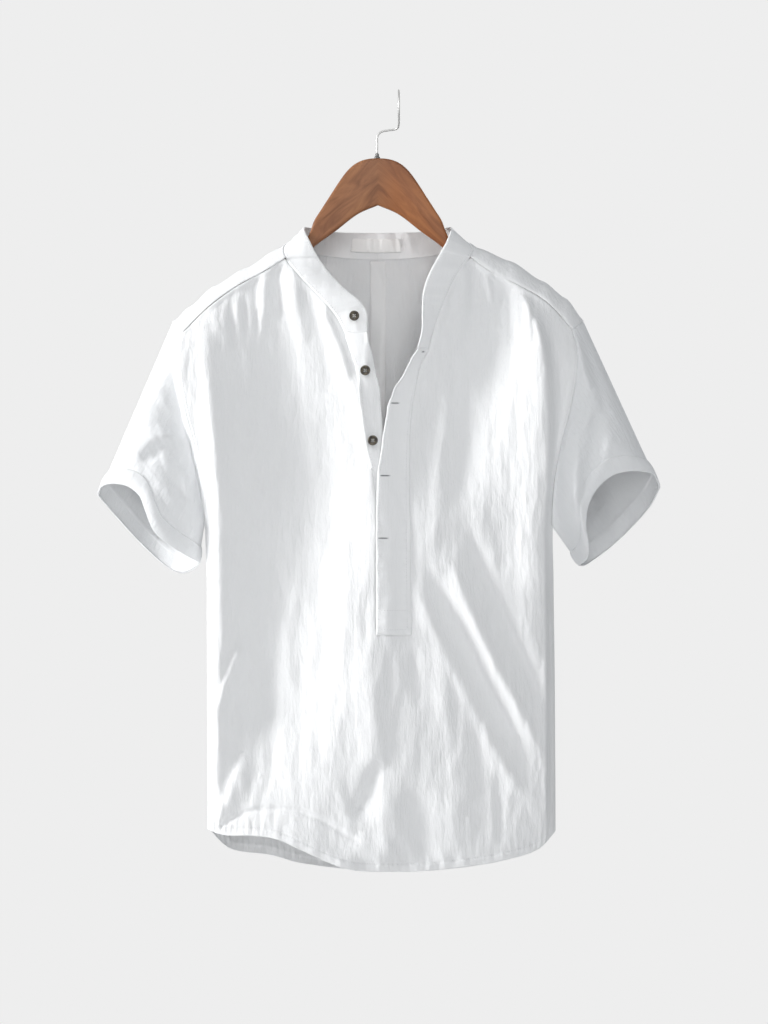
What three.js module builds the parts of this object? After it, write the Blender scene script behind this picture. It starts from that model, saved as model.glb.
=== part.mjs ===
// Short-sleeved shirt with a mandarin collar and a half placket, hung on a wooden hanger.
// Millimetres, +Z up. X runs to the viewer's right and the front faces -Y.
// The origin is the inner crest of the hanger's hook.
// Places on the cloth are given as across (from the garment's centre line), down (below the origin)
// and depth (negative towards the viewer).
import * as THREE from 'three';

// Driving dimensions
const CLOTH = 1.6;
const DOUBLE_CLOTH = 2.0;
const SEAM_GAP = 0.3;
const CENTRE_FROM_HOOK = -24;
const SHOULDER_ROUND = 70;
const RIDGE_END = 236;
const ARMHOLE_FOOT = 500;
const ARMHOLE_FOOT_ACROSS = 199.5;
const SLEEVE_SWELL = 9;
const FOLD_FADE = 26;
const CUFF_HEIGHT = 20;
const SLIT_BOTTOM = 622;
const STRIP_WIDTH = 18;
const STRIP_THICKNESS = 1;
const BUTTON_RADIUS = 5.75;
const BUTTON_THICKNESS = 2.4;
const HANGER_THICKNESS = 12;
const WIRE_RADIUS = 1.4;
const HOOK_RADIUS = 19;

// Steps that neighbouring pieces share at a seam
const SHOULDER_COLUMNS = 6;
const FRONT_ARMHOLE_ROWS = 11;
const WRAP_SHARES = [0, 0.4, 0.72, 0.92, 1];
const BACK_ARMHOLE_PLACES = [0, 0.025, 0.1, 0.25, 0.5, 0.85, 1.4, 2.2, 3, 3.8, 4.6, 5.4, 6.2, 7];

// Body by height: half of its width with the virtual part beyond the armhole, centre, and depths
const SECTIONS = [
  { down: 130, half: 277, centre: 0, front: 20, back: 30 },
  { down: 174, half: 277, centre: 0, front: 26, back: 38 },
  { down: 217, half: 277, centre: 0, front: 34, back: 42 },
  { down: 277, half: 277, centre: 0, front: 42, back: 44 },
  { down: 326, half: 277, centre: 0, front: 46, back: 45 },
  { down: 366, half: 269, centre: 0, front: 49, back: 45 },
  { down: 407, half: 254, centre: 0, front: 51, back: 45 },
  { down: 447, half: 226, centre: 0, front: 52, back: 45 },
  { down: 480, half: 206, centre: 0.5, front: 53, back: 45 },
  { down: 505, half: 200, centre: 1, front: 53, back: 45 },
  { down: 560, half: 199.5, centre: 2.5, front: 52, back: 44 },
  { down: 700, half: 200, centre: 3.5, front: 50, back: 43 },
  { down: 815, half: 200, centre: 4, front: 48, back: 42 },
  { down: 900, half: 200, centre: 4, front: 47, back: 42 },
];

// Top line of the shoulders, as depth below the origin on each side of the photo
const RIDGE = [
  { across: 0, left: 130, right: 130 },
  { across: 50, left: 146, right: 146 },
  { across: 80, left: 160, right: 160 },
  { across: 103, left: 174, right: 174 },
  { across: 115, left: 181, right: 181 },
  { across: 152, left: 203, right: 196 },
  { across: 189, left: 224, right: 219 },
  { across: 216, left: 247, right: 239 },
  { across: 236, left: 265, right: 264 },
  { across: 262, left: 300, right: 298 },
];

// Forward shoulder seam, between the armhole and the collar
const SHOULDER_SEAM = [
  { across: 223, left: 277, right: 275 },
  { across: 194, left: 248, right: 243 },
  { across: 163, left: 225, right: 224 },
  { across: 130, left: 207, right: 208 },
  { across: 106, left: 192, right: 191 },
];

// Armhole seam below the shoulder seam, the same on the front and the back
const ARMHOLE = [
  { across: 223, left: 277, right: 275 },
  { across: 228, left: 297, right: 297 },
  { across: 227, left: 326, right: 326 },
  { across: 220, left: 366, right: 366 },
  { across: 209, left: 407, right: 407 },
  { across: 202, left: 447, right: 447 },
  { across: 199.5, left: 480, right: 480 },
  { across: 199.5, left: 500, right: 500 },
];

// Mandarin collar from its left front end round the back to its right front end:
// the seam on the neck, the free top edge, and how far the top edge leans back from the seam
const COLLAR = [
  { seamAcross: -36, seamDown: 284, behind: 0, topAcross: -12, topDown: 277, lean: -3 },
  { seamAcross: -46, seamDown: 263, behind: 0, topAcross: -13, topDown: 255, lean: -2 },
  { seamAcross: -59, seamDown: 246, behind: 0, topAcross: -21, topDown: 242, lean: -1 },
  { seamAcross: -74, seamDown: 230, behind: 0, topAcross: -36, topDown: 229, lean: 0 },
  { seamAcross: -90, seamDown: 213, behind: 0, topAcross: -54, topDown: 211, lean: 2 },
  { seamAcross: -106, seamDown: 192, behind: 0, topAcross: -69, topDown: 191, lean: -1 },
  { seamAcross: -109, seamDown: 182, behind: 0, topAcross: -79, topDown: 172, lean: -7 },
  { seamAcross: -103, seamDown: 174, behind: 1, topAcross: -85, topDown: 156, lean: 1 },
  { seamAcross: -88, seamDown: 180, behind: 1, topAcross: -74, topDown: 157, lean: 0 },
  { seamAcross: -61, seamDown: 188, behind: 1, topAcross: -52, topDown: 160, lean: 1 },
  { seamAcross: 0, seamDown: 192, behind: 1, topAcross: 0, topDown: 161, lean: 2 },
  { seamAcross: 61, seamDown: 188, behind: 1, topAcross: 52, topDown: 160, lean: 1 },
  { seamAcross: 88, seamDown: 180, behind: 1, topAcross: 74, topDown: 157, lean: 0 },
  { seamAcross: 103, seamDown: 174, behind: 1, topAcross: 84, topDown: 156, lean: 1 },
  { seamAcross: 109, seamDown: 182, behind: 0, topAcross: 80, topDown: 171, lean: -7 },
  { seamAcross: 106, seamDown: 191, behind: 0, topAcross: 73, topDown: 184, lean: -8 },
  { seamAcross: 92, seamDown: 209, behind: 0, topAcross: 61, topDown: 207, lean: -12 },
  { seamAcross: 82, seamDown: 228, behind: 0, topAcross: 53, topDown: 228, lean: -15 },
  { seamAcross: 72, seamDown: 253, behind: 0, topAcross: 51, topDown: 252, lean: -17 },
  { seamAcross: 64, seamDown: 276, behind: 0, topAcross: 51, topDown: 275, lean: -17 },
  { seamAcross: 58, seamDown: 297, behind: 0, topAcross: 46, topDown: 296.5, lean: -14 },
];
const COLLAR_LEFT_SHOULDER = 5;
const COLLAR_LEFT_RIDGE = 7;
const COLLAR_BACK = 10;
const COLLAR_RIGHT_RIDGE = 13;
const COLLAR_RIGHT_SHOULDER = 15;

// Edges of the slit in the front, below the collar
const SLIT_LEFT = [
  { across: -36, down: 284 },
  { across: -23, down: 326 },
  { across: -15, down: 401 },
  { across: -7, down: 435 },
  { across: -2, down: 472 },
  { across: -2, down: SLIT_BOTTOM },
];
const SLIT_RIGHT = [
  { across: 58, down: 297 },
  { across: 48, down: 318 },
  { across: 39, down: 361 },
  { across: 35, down: 412 },
  { across: 35, down: 520 },
  { across: 36, down: SLIT_BOTTOM },
];

// Heights of the front's rows along the slit
const SLIT_ROWS = [284, 308, 330, 354, 380, 406, 432, 458, 486, 520, 570, SLIT_BOTTOM];

// Plackets: the free edge, and how far each edge lies behind the front's own surface
const UNDER_PLACKET = [
  { down: 286, free: -11, seamSink: 0, freeSink: 0 },
  { down: 311, free: -5, seamSink: 0, freeSink: 4 },
  { down: 349, free: 3, seamSink: 0, freeSink: 6 },
  { down: 401, free: 6, seamSink: 0, freeSink: 6 },
  { down: 440, free: 17, seamSink: 1.5, freeSink: 6 },
  { down: 476, free: 30, seamSink: 2.4, freeSink: 5 },
  { down: 520, free: 33, seamSink: 2.6, freeSink: 4 },
  { down: 618, free: 33.5, seamSink: 2.6, freeSink: 3.2 },
];
const OVER_PLACKET = [
  { down: 297.6, free: 46, seamSink: -0.4, freeSink: -14 },
  { down: 311, free: 38, seamSink: -0.4, freeSink: -13 },
  { down: 323, free: 32, seamSink: -0.4, freeSink: -11 },
  { down: 346, free: 18, seamSink: -0.4, freeSink: -8 },
  { down: 365, free: 11, seamSink: -0.4, freeSink: -7 },
  { down: 407, free: 5, seamSink: -0.4, freeSink: -5.5 },
  { down: 447, free: -1, seamSink: -0.4, freeSink: -4 },
  { down: 540, free: -2, seamSink: -0.4, freeSink: -3.2 },
  { down: 620.5, free: -1.5, seamSink: -0.4, freeSink: -2.4 },
];

// Hems, left to right
const FRONT_HEM = [
  { across: -196, down: 848 },
  { across: -176, down: 853 },
  { across: -147, down: 853 },
  { across: -118, down: 856 },
  { across: -90, down: 868 },
  { across: -49, down: 886 },
  { across: -21, down: 893 },
  { across: 37, down: 894 },
  { across: 100, down: 889 },
  { across: 151, down: 880 },
  { across: 184, down: 869 },
  { across: 204, down: 850 },
];
const BACK_HEM = [
  { across: -196, down: 848 },
  { across: -171, down: 872 },
  { across: -124, down: 880 },
  { across: -92, down: 889 },
  { across: -31, down: 897 },
  { across: 37, down: 895 },
  { across: 100, down: 890 },
  { across: 160, down: 880 },
  { across: 190, down: 868 },
  { across: 204, down: 850 },
];

const HEM_AT_SIDE = { left: FRONT_HEM[0].down, right: FRONT_HEM[FRONT_HEM.length - 1].down };

// Large folds: a start, middle and end place, the half width and the height (negative for a trough)
const FRONT_FOLDS = [
  { x0: -216, d0: 280, x1: -184, d1: 412, x2: -192, d2: 940, half: 18, height: 7 },
  { x0: -136, d0: 240, x1: -94, d1: 470, x2: -136, d2: 940, half: 34, height: -10 },
  { x0: -103, d0: 196, x1: -72, d1: 440, x2: -112, d2: 940, half: 16, height: 5 },
  { x0: -88, d0: 212, x1: -62, d1: 285, x2: -24, d2: 430, half: 12, height: -4 },
  { x0: 105, d0: 196, x1: 116, d1: 285, x2: 84, d2: 405, half: 26, height: -9 },
  { x0: 150, d0: 222, x1: 180, d1: 330, x2: 180, d2: 560, half: 20, height: 8 },
  { x0: 97, d0: 490, x1: 146, d1: 620, x2: 176, d2: 720, half: 17, height: -6 },
  { x0: 50, d0: 520, x1: 100, d1: 671, x2: 150, d2: 810, half: 17, height: -5 },
  { x0: 2, d0: 640, x1: -8, d1: 780, x2: 6, d2: 960, half: 20, height: 6 },
  { x0: 40, d0: 680, x1: 46, d1: 840, x2: 54, d2: 960, half: 20, height: -7 },
];
const BACK_FOLDS = [
  { x0: -150, d0: 240, x1: -128, d1: 470, x2: -136, d2: 960, half: 28, height: -8 },
  { x0: -84, d0: 230, x1: -74, d1: 500, x2: -80, d2: 960, half: 22, height: 6 },
  { x0: 62, d0: 230, x1: 64, d1: 480, x2: 60, d2: 960, half: 24, height: 6 },
  { x0: 120, d0: 240, x1: 124, d1: 520, x2: 118, d2: 960, half: 24, height: -8 },
];

// Cuff openings: the rim from the outer tip along the front to the underarm tip, then along the back
const CUFF_LEFT_FRONT = [
  { across: -322, down: 465, depth: 0 },
  { across: -317, down: 455, depth: -14 },
  { across: -304, down: 452, depth: -27 },
  { across: -287, down: 455, depth: -35 },
  { across: -273, down: 466, depth: -38 },
  { across: -266, down: 484, depth: -39 },
  { across: -257, down: 505, depth: -37 },
  { across: -240, down: 521, depth: -31 },
  { across: -218, down: 535, depth: -19 },
  { across: -206, down: 542, depth: 0 },
];
const CUFF_LEFT_BACK = [
  { across: -322, down: 465, depth: 0 },
  { across: -312, down: 478, depth: 20 },
  { across: -296, down: 497, depth: 34 },
  { across: -278, down: 517, depth: 41 },
  { across: -256, down: 538, depth: 42 },
  { across: -238, down: 551, depth: 36 },
  { across: -224, down: 554, depth: 26 },
  { across: -212, down: 549, depth: 13 },
  { across: -206, down: 542, depth: 0 },
];
const CUFF_RIGHT_FRONT = [
  { across: 324, down: 456, depth: 0 },
  { across: 317, down: 442, depth: -13 },
  { across: 303, down: 438, depth: -25 },
  { across: 286, down: 438, depth: -33 },
  { across: 268, down: 443, depth: -38 },
  { across: 251, down: 458, depth: -40 },
  { across: 241, down: 478, depth: -40 },
  { across: 239, down: 500, depth: -37 },
  { across: 242, down: 520, depth: -30 },
  { across: 241, down: 536, depth: -18 },
  { across: 232, down: 545, depth: 0 },
];
const CUFF_RIGHT_BACK = [
  { across: 324, down: 456, depth: 0 },
  { across: 314, down: 477, depth: 20 },
  { across: 294, down: 501, depth: 35 },
  { across: 271, down: 523, depth: 40 },
  { across: 251, down: 538, depth: 34 },
  { across: 239, down: 545, depth: 18 },
  { across: 232, down: 545, depth: 0 },
];

// Wooden hanger, half outline from the crest to the tip and back under to the notch
const HANGER_TOP = [
  { across: 0, down: 77 },
  { across: 10, down: 77.6 },
  { across: 20, down: 80.2 },
  { across: 29, down: 85.5 },
  { across: 37, down: 93.5 },
  { across: 46, down: 106 },
  { across: 56, down: 121.5 },
  { across: 66, down: 137 },
  { across: 73.5, down: 149 },
  { across: 77.5, down: 160 },
  { across: 84, down: 173 },
  { across: 96, down: 184 },
  { across: 115, down: 191 },
  { across: 152, down: 207.3 },
  { across: 189, down: 227.3 },
  { across: 212, down: 248.2 },
];
const HANGER_BOTTOM = [
  { across: 209, down: 262 },
  { across: 186, down: 254 },
  { across: 150, down: 236 },
  { across: 103, down: 210 },
  { across: 76, down: 181 },
  { across: 48, down: 160 },
  { across: 23, down: 141 },
  { across: 0, down: 131 },
];

// Buttons: their row on the collar or their height on the under-placket, their share of its width from
// the seam, and how far they stand off it
const BUTTONS = [
  { on: 'collar', row: 0.95, share: 0.56, rise: 0.8 },
  { on: 'placket', down: 322, share: 0.46, rise: 0.9 },
  { on: 'placket', down: 402, share: 0.42, rise: 1.15 },
  { on: 'placket', down: 476, share: 0.5, rise: 0.5 },
];

// Materials
function cloth(colour) {
  return new THREE.MeshStandardMaterial({ color: colour, roughness: 0.92, metalness: 0 });
}
const white = cloth(0xf4f5f6);
const stripWhite = cloth(0xe6e8ea);
const buttonMaterial = new THREE.MeshStandardMaterial({ color: 0x3a332b, roughness: 0.45, metalness: 0 });
const woodMaterial = new THREE.MeshStandardMaterial({ color: 0x8d5f48, roughness: 0.5, metalness: 0 });
const wireMaterial = new THREE.MeshStandardMaterial({ color: 0x9a9a98, roughness: 0.3, metalness: 1 });

// Smooth interpolation through rows, by row number
function through(rows, keys) {
  const points = rows.map((row) => keys.map((key) => row[key]));
  const knots = [0];
  for (let i = 1; i < points.length; i += 1) {
    knots.push(knots[i - 1] + Math.hypot(...points[i].map((value, k) => value - points[i - 1][k])));
  }
  const last = points.length - 1;
  const slope = (i, k) => {
    const before = Math.max(i - 1, 0);
    const after = Math.min(i + 1, last);
    return (points[after][k] - points[before][k]) / (knots[after] - knots[before]);
  };
  return (place) => {
    const i = Math.min(Math.max(Math.floor(place), 0), last - 1);
    const f = Math.min(Math.max(place - i, 0), 1);
    const span = knots[i + 1] - knots[i];
    return keys.map((key, k) => {
      const h00 = (1 + 2 * f) * (1 - f) * (1 - f);
      const h10 = f * (1 - f) * (1 - f);
      const h01 = f * f * (3 - 2 * f);
      const h11 = f * f * (f - 1);
      const placed = h00 * points[i][k] + h01 * points[i + 1][k];
      return placed + span * (h10 * slope(i, k) + h11 * slope(i + 1, k));
    });
  };
}

// Values of a table at a height or width, straight between its rows
function lookUp(rows, key, value, column) {
  let i = 0;
  while (i < rows.length - 2 && value > rows[i + 1][key]) i += 1;
  const f = Math.min(Math.max((value - rows[i][key]) / (rows[i + 1][key] - rows[i][key]), 0), 1);
  const eased = f * f * (3 - 2 * f) * 0.5 + f * 0.5;
  return rows[i][column] + (rows[i + 1][column] - rows[i][column]) * eased;
}

function smoothStep(from, to, value) {
  const f = Math.min(Math.max((value - from) / (to - from), 0), 1);
  return f * f * (3 - 2 * f);
}

// Height of the folds at a place
function foldHeight(folds, across, down) {
  let height = 0;
  for (const fold of folds) {
    const steep = Math.abs(fold.d2 - fold.d0) > Math.abs(fold.x2 - fold.x0);
    const start = steep ? fold.d0 : fold.x0;
    const end = steep ? fold.d2 : fold.x2;
    const f = ((steep ? down : across) - start) / (end - start);
    if (f <= 0 || f >= 1) continue;
    const ends = steep ? [fold.x0, fold.x1, fold.x2] : [fold.d0, fold.d1, fold.d2];
    const middle = ((steep ? fold.d1 : fold.x1) - start) / (end - start);
    const line = f < middle
      ? ends[0] + (ends[1] - ends[0]) * Math.sin((f / middle) * Math.PI * 0.5)
      : ends[1] + (ends[2] - ends[1]) * (1 - Math.cos(((f - middle) / (1 - middle)) * Math.PI * 0.5));
    const off = ((steep ? across : down) - line) / fold.half;
    const along = smoothStep(0, 0.2, f) * smoothStep(0, 0.12, 1 - f);
    height += fold.height * along * Math.exp(-off * off);
  }
  return height;
}

function ridgeDown(across) {
  return lookUp(RIDGE, 'across', Math.abs(across), across < 0 ? 'left' : 'right');
}

// Distance inside the shoulder seam or the armhole, where the folds fade out
function inside(across, down) {
  const side = across < 0 ? 'left' : 'right';
  const width = Math.abs(across);
  const seam = [...SHOULDER_SEAM].reverse();
  const below = width < seam[0].across ? 2 * FOLD_FADE : down - lookUp(seam, 'across', width, side);
  const edge = down < ARMHOLE_FOOT ? lookUp(ARMHOLE, side, down, 'across') : ARMHOLE_FOOT_ACROSS;
  return Math.min(below, edge - width);
}

// A place on the outside of the body
function body(across, down, behind = 0) {
  const half = lookUp(SECTIONS, 'down', down, 'half');
  const centre = lookUp(SECTIONS, 'down', down, 'centre');
  const depth = lookUp(SECTIONS, 'down', down, behind ? 'back' : 'front');
  const u = Math.min(Math.abs(across - centre) / half, 1);
  const drop = Math.min(Math.max((down - ridgeDown(across)) / SHOULDER_ROUND, 0), 1);
  const roundShoulder = (1 - (1 - drop) ** 2) ** 0.45;
  const roundSide = (1 - u * u) ** 0.4;
  const relief = foldHeight(behind ? BACK_FOLDS : FRONT_FOLDS, across, down);
  const fade = smoothStep(0, FOLD_FADE, inside(across, down));
  const out = depth * roundShoulder * roundSide + relief * fade;
  return place(across, down, behind ? out : -out);
}

function place(across, down, depth) {
  return new THREE.Vector3(CENTRE_FROM_HOOK + across, depth, -down);
}

// Places [across, down] along a curve
function along(curve, from, to, count) {
  return Array.from({ length: count + 1 }, (_, i) => curve(from + ((to - from) * i) / count));
}

function joined(...lists) {
  return lists.reduce((all, list) => (all.length ? [...all, ...list.slice(1)] : [...list]), []);
}

// Even or crowded steps from 0 to 1
function steps(count, crowding = 0) {
  return Array.from({ length: count + 1 }, (_, i) => {
    const f = i / count;
    return f * (1 - crowding) + crowding * (1 - Math.cos(f * Math.PI * 0.5));
  });
}

// A patch between four borders
function patch(left, right, top, bottom, acrossSteps, downSteps) {
  return downSteps.map((t, j) => acrossSteps.map((s, i) => [0, 1].map((k) => (
    (1 - s) * left[j][k] + s * right[j][k] + (1 - t) * top[i][k] + t * bottom[i][k]
    - (1 - s) * (1 - t) * left[0][k] - s * (1 - t) * right[0][k]
    - (1 - s) * t * left[left.length - 1][k] - s * t * right[right.length - 1][k]
  ))));
}

// A sheet is a list of points and of four-cornered faces, seen from outside
function gridSheet(rows, closed = false, skip = () => false) {
  const points = [];
  const quads = [];
  const width = rows[0].length;
  rows.forEach((row) => row.forEach((point) => points.push(point)));
  for (let j = 0; j < rows.length - 1; j += 1) {
    for (let i = 0; i < (closed ? width : width - 1); i += 1) {
      if (skip(i, j)) continue;
      const next = (i + 1) % width;
      quads.push([j * width + i, (j + 1) * width + i, (j + 1) * width + next, j * width + next]);
    }
  }
  return { points, quads };
}

// A cloth wall: the sheet, its copy inside, and the edge between them
function wall(name, sheet, outward, thickness, material, inset = SEAM_GAP) {
  const used = new Map();
  sheet.quads.flat().forEach((index) => { if (!used.has(index)) used.set(index, used.size); });
  const points = [...used.keys()].map((index) => sheet.points[index].clone());
  let quads = sheet.quads.map((quad) => quad.map((index) => used.get(index)));
  const normalsOf = () => {
    const normals = points.map(() => new THREE.Vector3());
    quads.forEach(([a, b, c, d]) => {
      const normal = points[c].clone().sub(points[a]).cross(points[d].clone().sub(points[b]));
      [a, b, c, d].forEach((index) => normals[index].add(normal));
    });
    return normals.map((normal) => normal.normalize());
  };
  let normals = normalsOf();
  points.forEach((point, i) => {
    if (Math.abs(point.y) < 0.01) normals[i].setY(0).normalize();
  });
  const facing = normals.reduce((sum, normal, i) => sum + normal.dot(outward(points[i])), 0);
  if (facing < 0) {
    quads = quads.map((quad) => [...quad].reverse());
    normals = normals.map((normal) => normal.negate());
  }
  const edges = new Map();
  quads.forEach((quad) => quad.forEach((a, k) => {
    const b = quad[(k + 1) % 4];
    edges.set(`${a},${b}`, [a, b]);
  }));
  const border = [...edges.values()].filter(([a, b]) => !edges.has(`${b},${a}`));
  const pull = new Map();
  border.forEach(([a, b]) => {
    const step = points[b].clone().sub(points[a]).normalize();
    [a, b].forEach((index) => {
      if (!pull.has(index)) pull.set(index, new THREE.Vector3());
      pull.get(index).add(normals[index].clone().cross(step));
    });
  });
  pull.forEach((direction, index) => points[index].add(direction.normalize().multiplyScalar(inset)));
  const count = points.length;
  const inner = points.map((point, i) => point.clone().addScaledVector(normals[i], -thickness));
  const faces = [];
  const square = (a, b, c, d) => faces.push(a, b, c, a, c, d);
  quads.forEach(([a, b, c, d]) => {
    if (points[a].distanceTo(points[c]) <= points[b].distanceTo(points[d])) {
      square(a, b, c, d);
      faces.push(a + count, c + count, b + count, a + count, d + count, c + count);
    } else {
      square(b, c, d, a);
      faces.push(b + count, d + count, c + count, b + count, a + count, d + count);
    }
  });
  border.forEach(([a, b]) => square(b, a, a + count, b + count));
  const geometry = new THREE.BufferGeometry();
  const positions = [...points, ...inner].flatMap((point) => point.toArray());
  geometry.setAttribute('position', new THREE.Float32BufferAttribute(positions, 3));
  geometry.setIndex(faces);
  return named(name, geometry, material);
}

function named(name, geometry, material) {
  const mesh = new THREE.Mesh(geometry, material);
  mesh.name = name;
  return mesh;
}

const towardsViewer = () => new THREE.Vector3(0, -1, 0);
const awayFromViewer = () => new THREE.Vector3(0, 1, 0);

// Shared seam curves
const collarSeam = through(COLLAR, ['seamAcross', 'seamDown']);
const signOf = (side) => (side === 'left' ? -1 : 1);
const sideRows = (rows, side) => rows.map((row) => ({ x: signOf(side) * row.across, d: row[side] }));
const ridgeEnd = (side) => [signOf(side) * RIDGE_END, ridgeDown(signOf(side) * RIDGE_END)];

// Places along the shoulder seam, with straight stretches between every second one
function shoulderPlaces(side, count) {
  const curve = through(sideRows(SHOULDER_SEAM, side), ['x', 'd']);
  const coarse = along(curve, 0, SHOULDER_SEAM.length - 1, SHOULDER_COLUMNS);
  return steps(count).map((s) => {
    const at = Math.min(Math.floor(s * SHOULDER_COLUMNS + 1e-9), SHOULDER_COLUMNS - 1);
    const f = s * SHOULDER_COLUMNS - at;
    return [0, 1].map((k) => coarse[at][k] * (1 - f) + coarse[at + 1][k] * f);
  });
}

// Places round an armhole: over the shoulder from the front seam to the ridge, and down each side
function armhole(side) {
  const front = through(sideRows(ARMHOLE, side), ['x', 'd']);
  const end = ridgeEnd(side);
  const behind = through([{ x: end[0], d: end[1] }, ...sideRows(ARMHOLE.slice(1), side)], ['x', 'd']);
  const start = front(0);
  return {
    wrap: WRAP_SHARES.map((f) => [0, 1].map((k) => start[k] * (1 - f) + end[k] * f)),
    front: steps(FRONT_ARMHOLE_ROWS).map((s) => front(s * (ARMHOLE.length - 1))),
    behind: BACK_ARMHOLE_PLACES.map((row) => behind(row)),
  };
}

const slitCurves = {
  left: through(SLIT_LEFT, ['across', 'down']),
  right: through(SLIT_RIGHT, ['across', 'down']),
};

// Where the curve of a slit edge stands at a height
function slitEdge(side, down) {
  let low = 0;
  let high = (side === 'left' ? SLIT_LEFT : SLIT_RIGHT).length - 1;
  for (let i = 0; i < 40; i += 1) {
    const middle = (low + high) / 2;
    if (slitCurves[side](middle)[1] < down) low = middle;
    else high = middle;
  }
  return slitCurves[side](low)[0];
}

// The slit edge as the front has it, straight between its rows
function slitAcross(side, down) {
  const rows = SLIT_ROWS.map((row, i) => (i ? row : (side === 'left' ? SLIT_LEFT : SLIT_RIGHT)[0].down));
  let i = 0;
  while (i < rows.length - 2 && down > rows[i + 1]) i += 1;
  const f = Math.max((down - rows[i]) / (rows[i + 1] - rows[i]), 0);
  return slitEdge(side, rows[i]) * (1 - f) + slitEdge(side, rows[i + 1]) * f;
}

// Side seam, at the very edge of the body
function sideSeam(side, fromDown, toDown, count) {
  return Array.from({ length: count + 1 }, (_, i) => {
    const down = fromDown + ((toDown - fromDown) * i) / count;
    const half = lookUp(SECTIONS, 'down', down, 'half');
    const centre = lookUp(SECTIONS, 'down', down, 'centre');
    return [centre + signOf(side) * half, down];
  });
}

// Front, one panel with a slit
function frontPanel() {
  const edgeRows = 10;
  const collarRows = 10;
  const slitRow = FRONT_ARMHOLE_ROWS + edgeRows;
  const lowRows = 10;
  const columns = 12;
  const hem = through(FRONT_HEM, ['across', 'down']);
  const hemLast = FRONT_HEM.length - 1;
  // Places on the hem straight below the two edges of the slit
  const hemSlit = [6.35, 6.98];
  const downSteps = steps(slitRow + lowRows);
  const outer = (side) => joined(
    armhole(side).front,
    sideSeam(side, ARMHOLE_FOOT, SLIT_BOTTOM, edgeRows),
    sideSeam(side, SLIT_BOTTOM, HEM_AT_SIDE[side], lowRows),
  );
  const below = (across, hemPlace) => {
    const [hemAcross, hemDown] = hem(hemPlace);
    return Array.from({ length: lowRows + 1 }, (_, i) => {
      const f = i / lowRows;
      return [across + (hemAcross - across) * f, SLIT_BOTTOM + (hemDown - SLIT_BOTTOM) * f];
    });
  };
  const slitLeft = joined(
    along(collarSeam, COLLAR_LEFT_SHOULDER, 0, collarRows),
    SLIT_ROWS.map((down) => [slitEdge('left', down), down]),
    below(SLIT_LEFT[SLIT_LEFT.length - 1].across, hemSlit[0]),
  );
  const slitRight = joined(
    along(collarSeam, COLLAR_RIGHT_SHOULDER, COLLAR.length - 1, collarRows),
    [SLIT_RIGHT[0].down, ...SLIT_ROWS.slice(1)].map((down) => [slitEdge('right', down), down]),
    below(SLIT_RIGHT[SLIT_RIGHT.length - 1].across, hemSlit[1]),
  );
  const crowded = steps(columns, 0.85);
  const leftHem = crowded.map((s) => hem(s * hemSlit[0]));
  const leftTop = shoulderPlaces('left', columns);
  const left = patch(outer('left'), slitLeft, leftTop, leftHem, crowded, downSteps);
  const rightTop = shoulderPlaces('right', columns);
  const rightHem = crowded.map((s) => hem(hemLast - s * (hemLast - hemSlit[1])));
  const right = patch(outer('right'), slitRight, rightTop, rightHem, crowded, downSteps)
    .map((row) => [...row].reverse());
  const middle = [1, 2];
  const rows = left.map((row, j) => [
    ...row,
    ...middle.map((m) => {
      const f = m / (middle.length + 1);
      return [0, 1].map((k) => slitLeft[j][k] * (1 - f) + slitRight[j][k] * f);
    }),
    ...right[j],
  ].map(([across, down]) => body(across, down)));
  const inSlit = (i, j) => i >= columns && i < columns + middle.length + 1 && j < slitRow;
  return wall('front_panel', gridSheet(rows, false, inSlit), towardsViewer, CLOTH, white);
}

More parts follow.
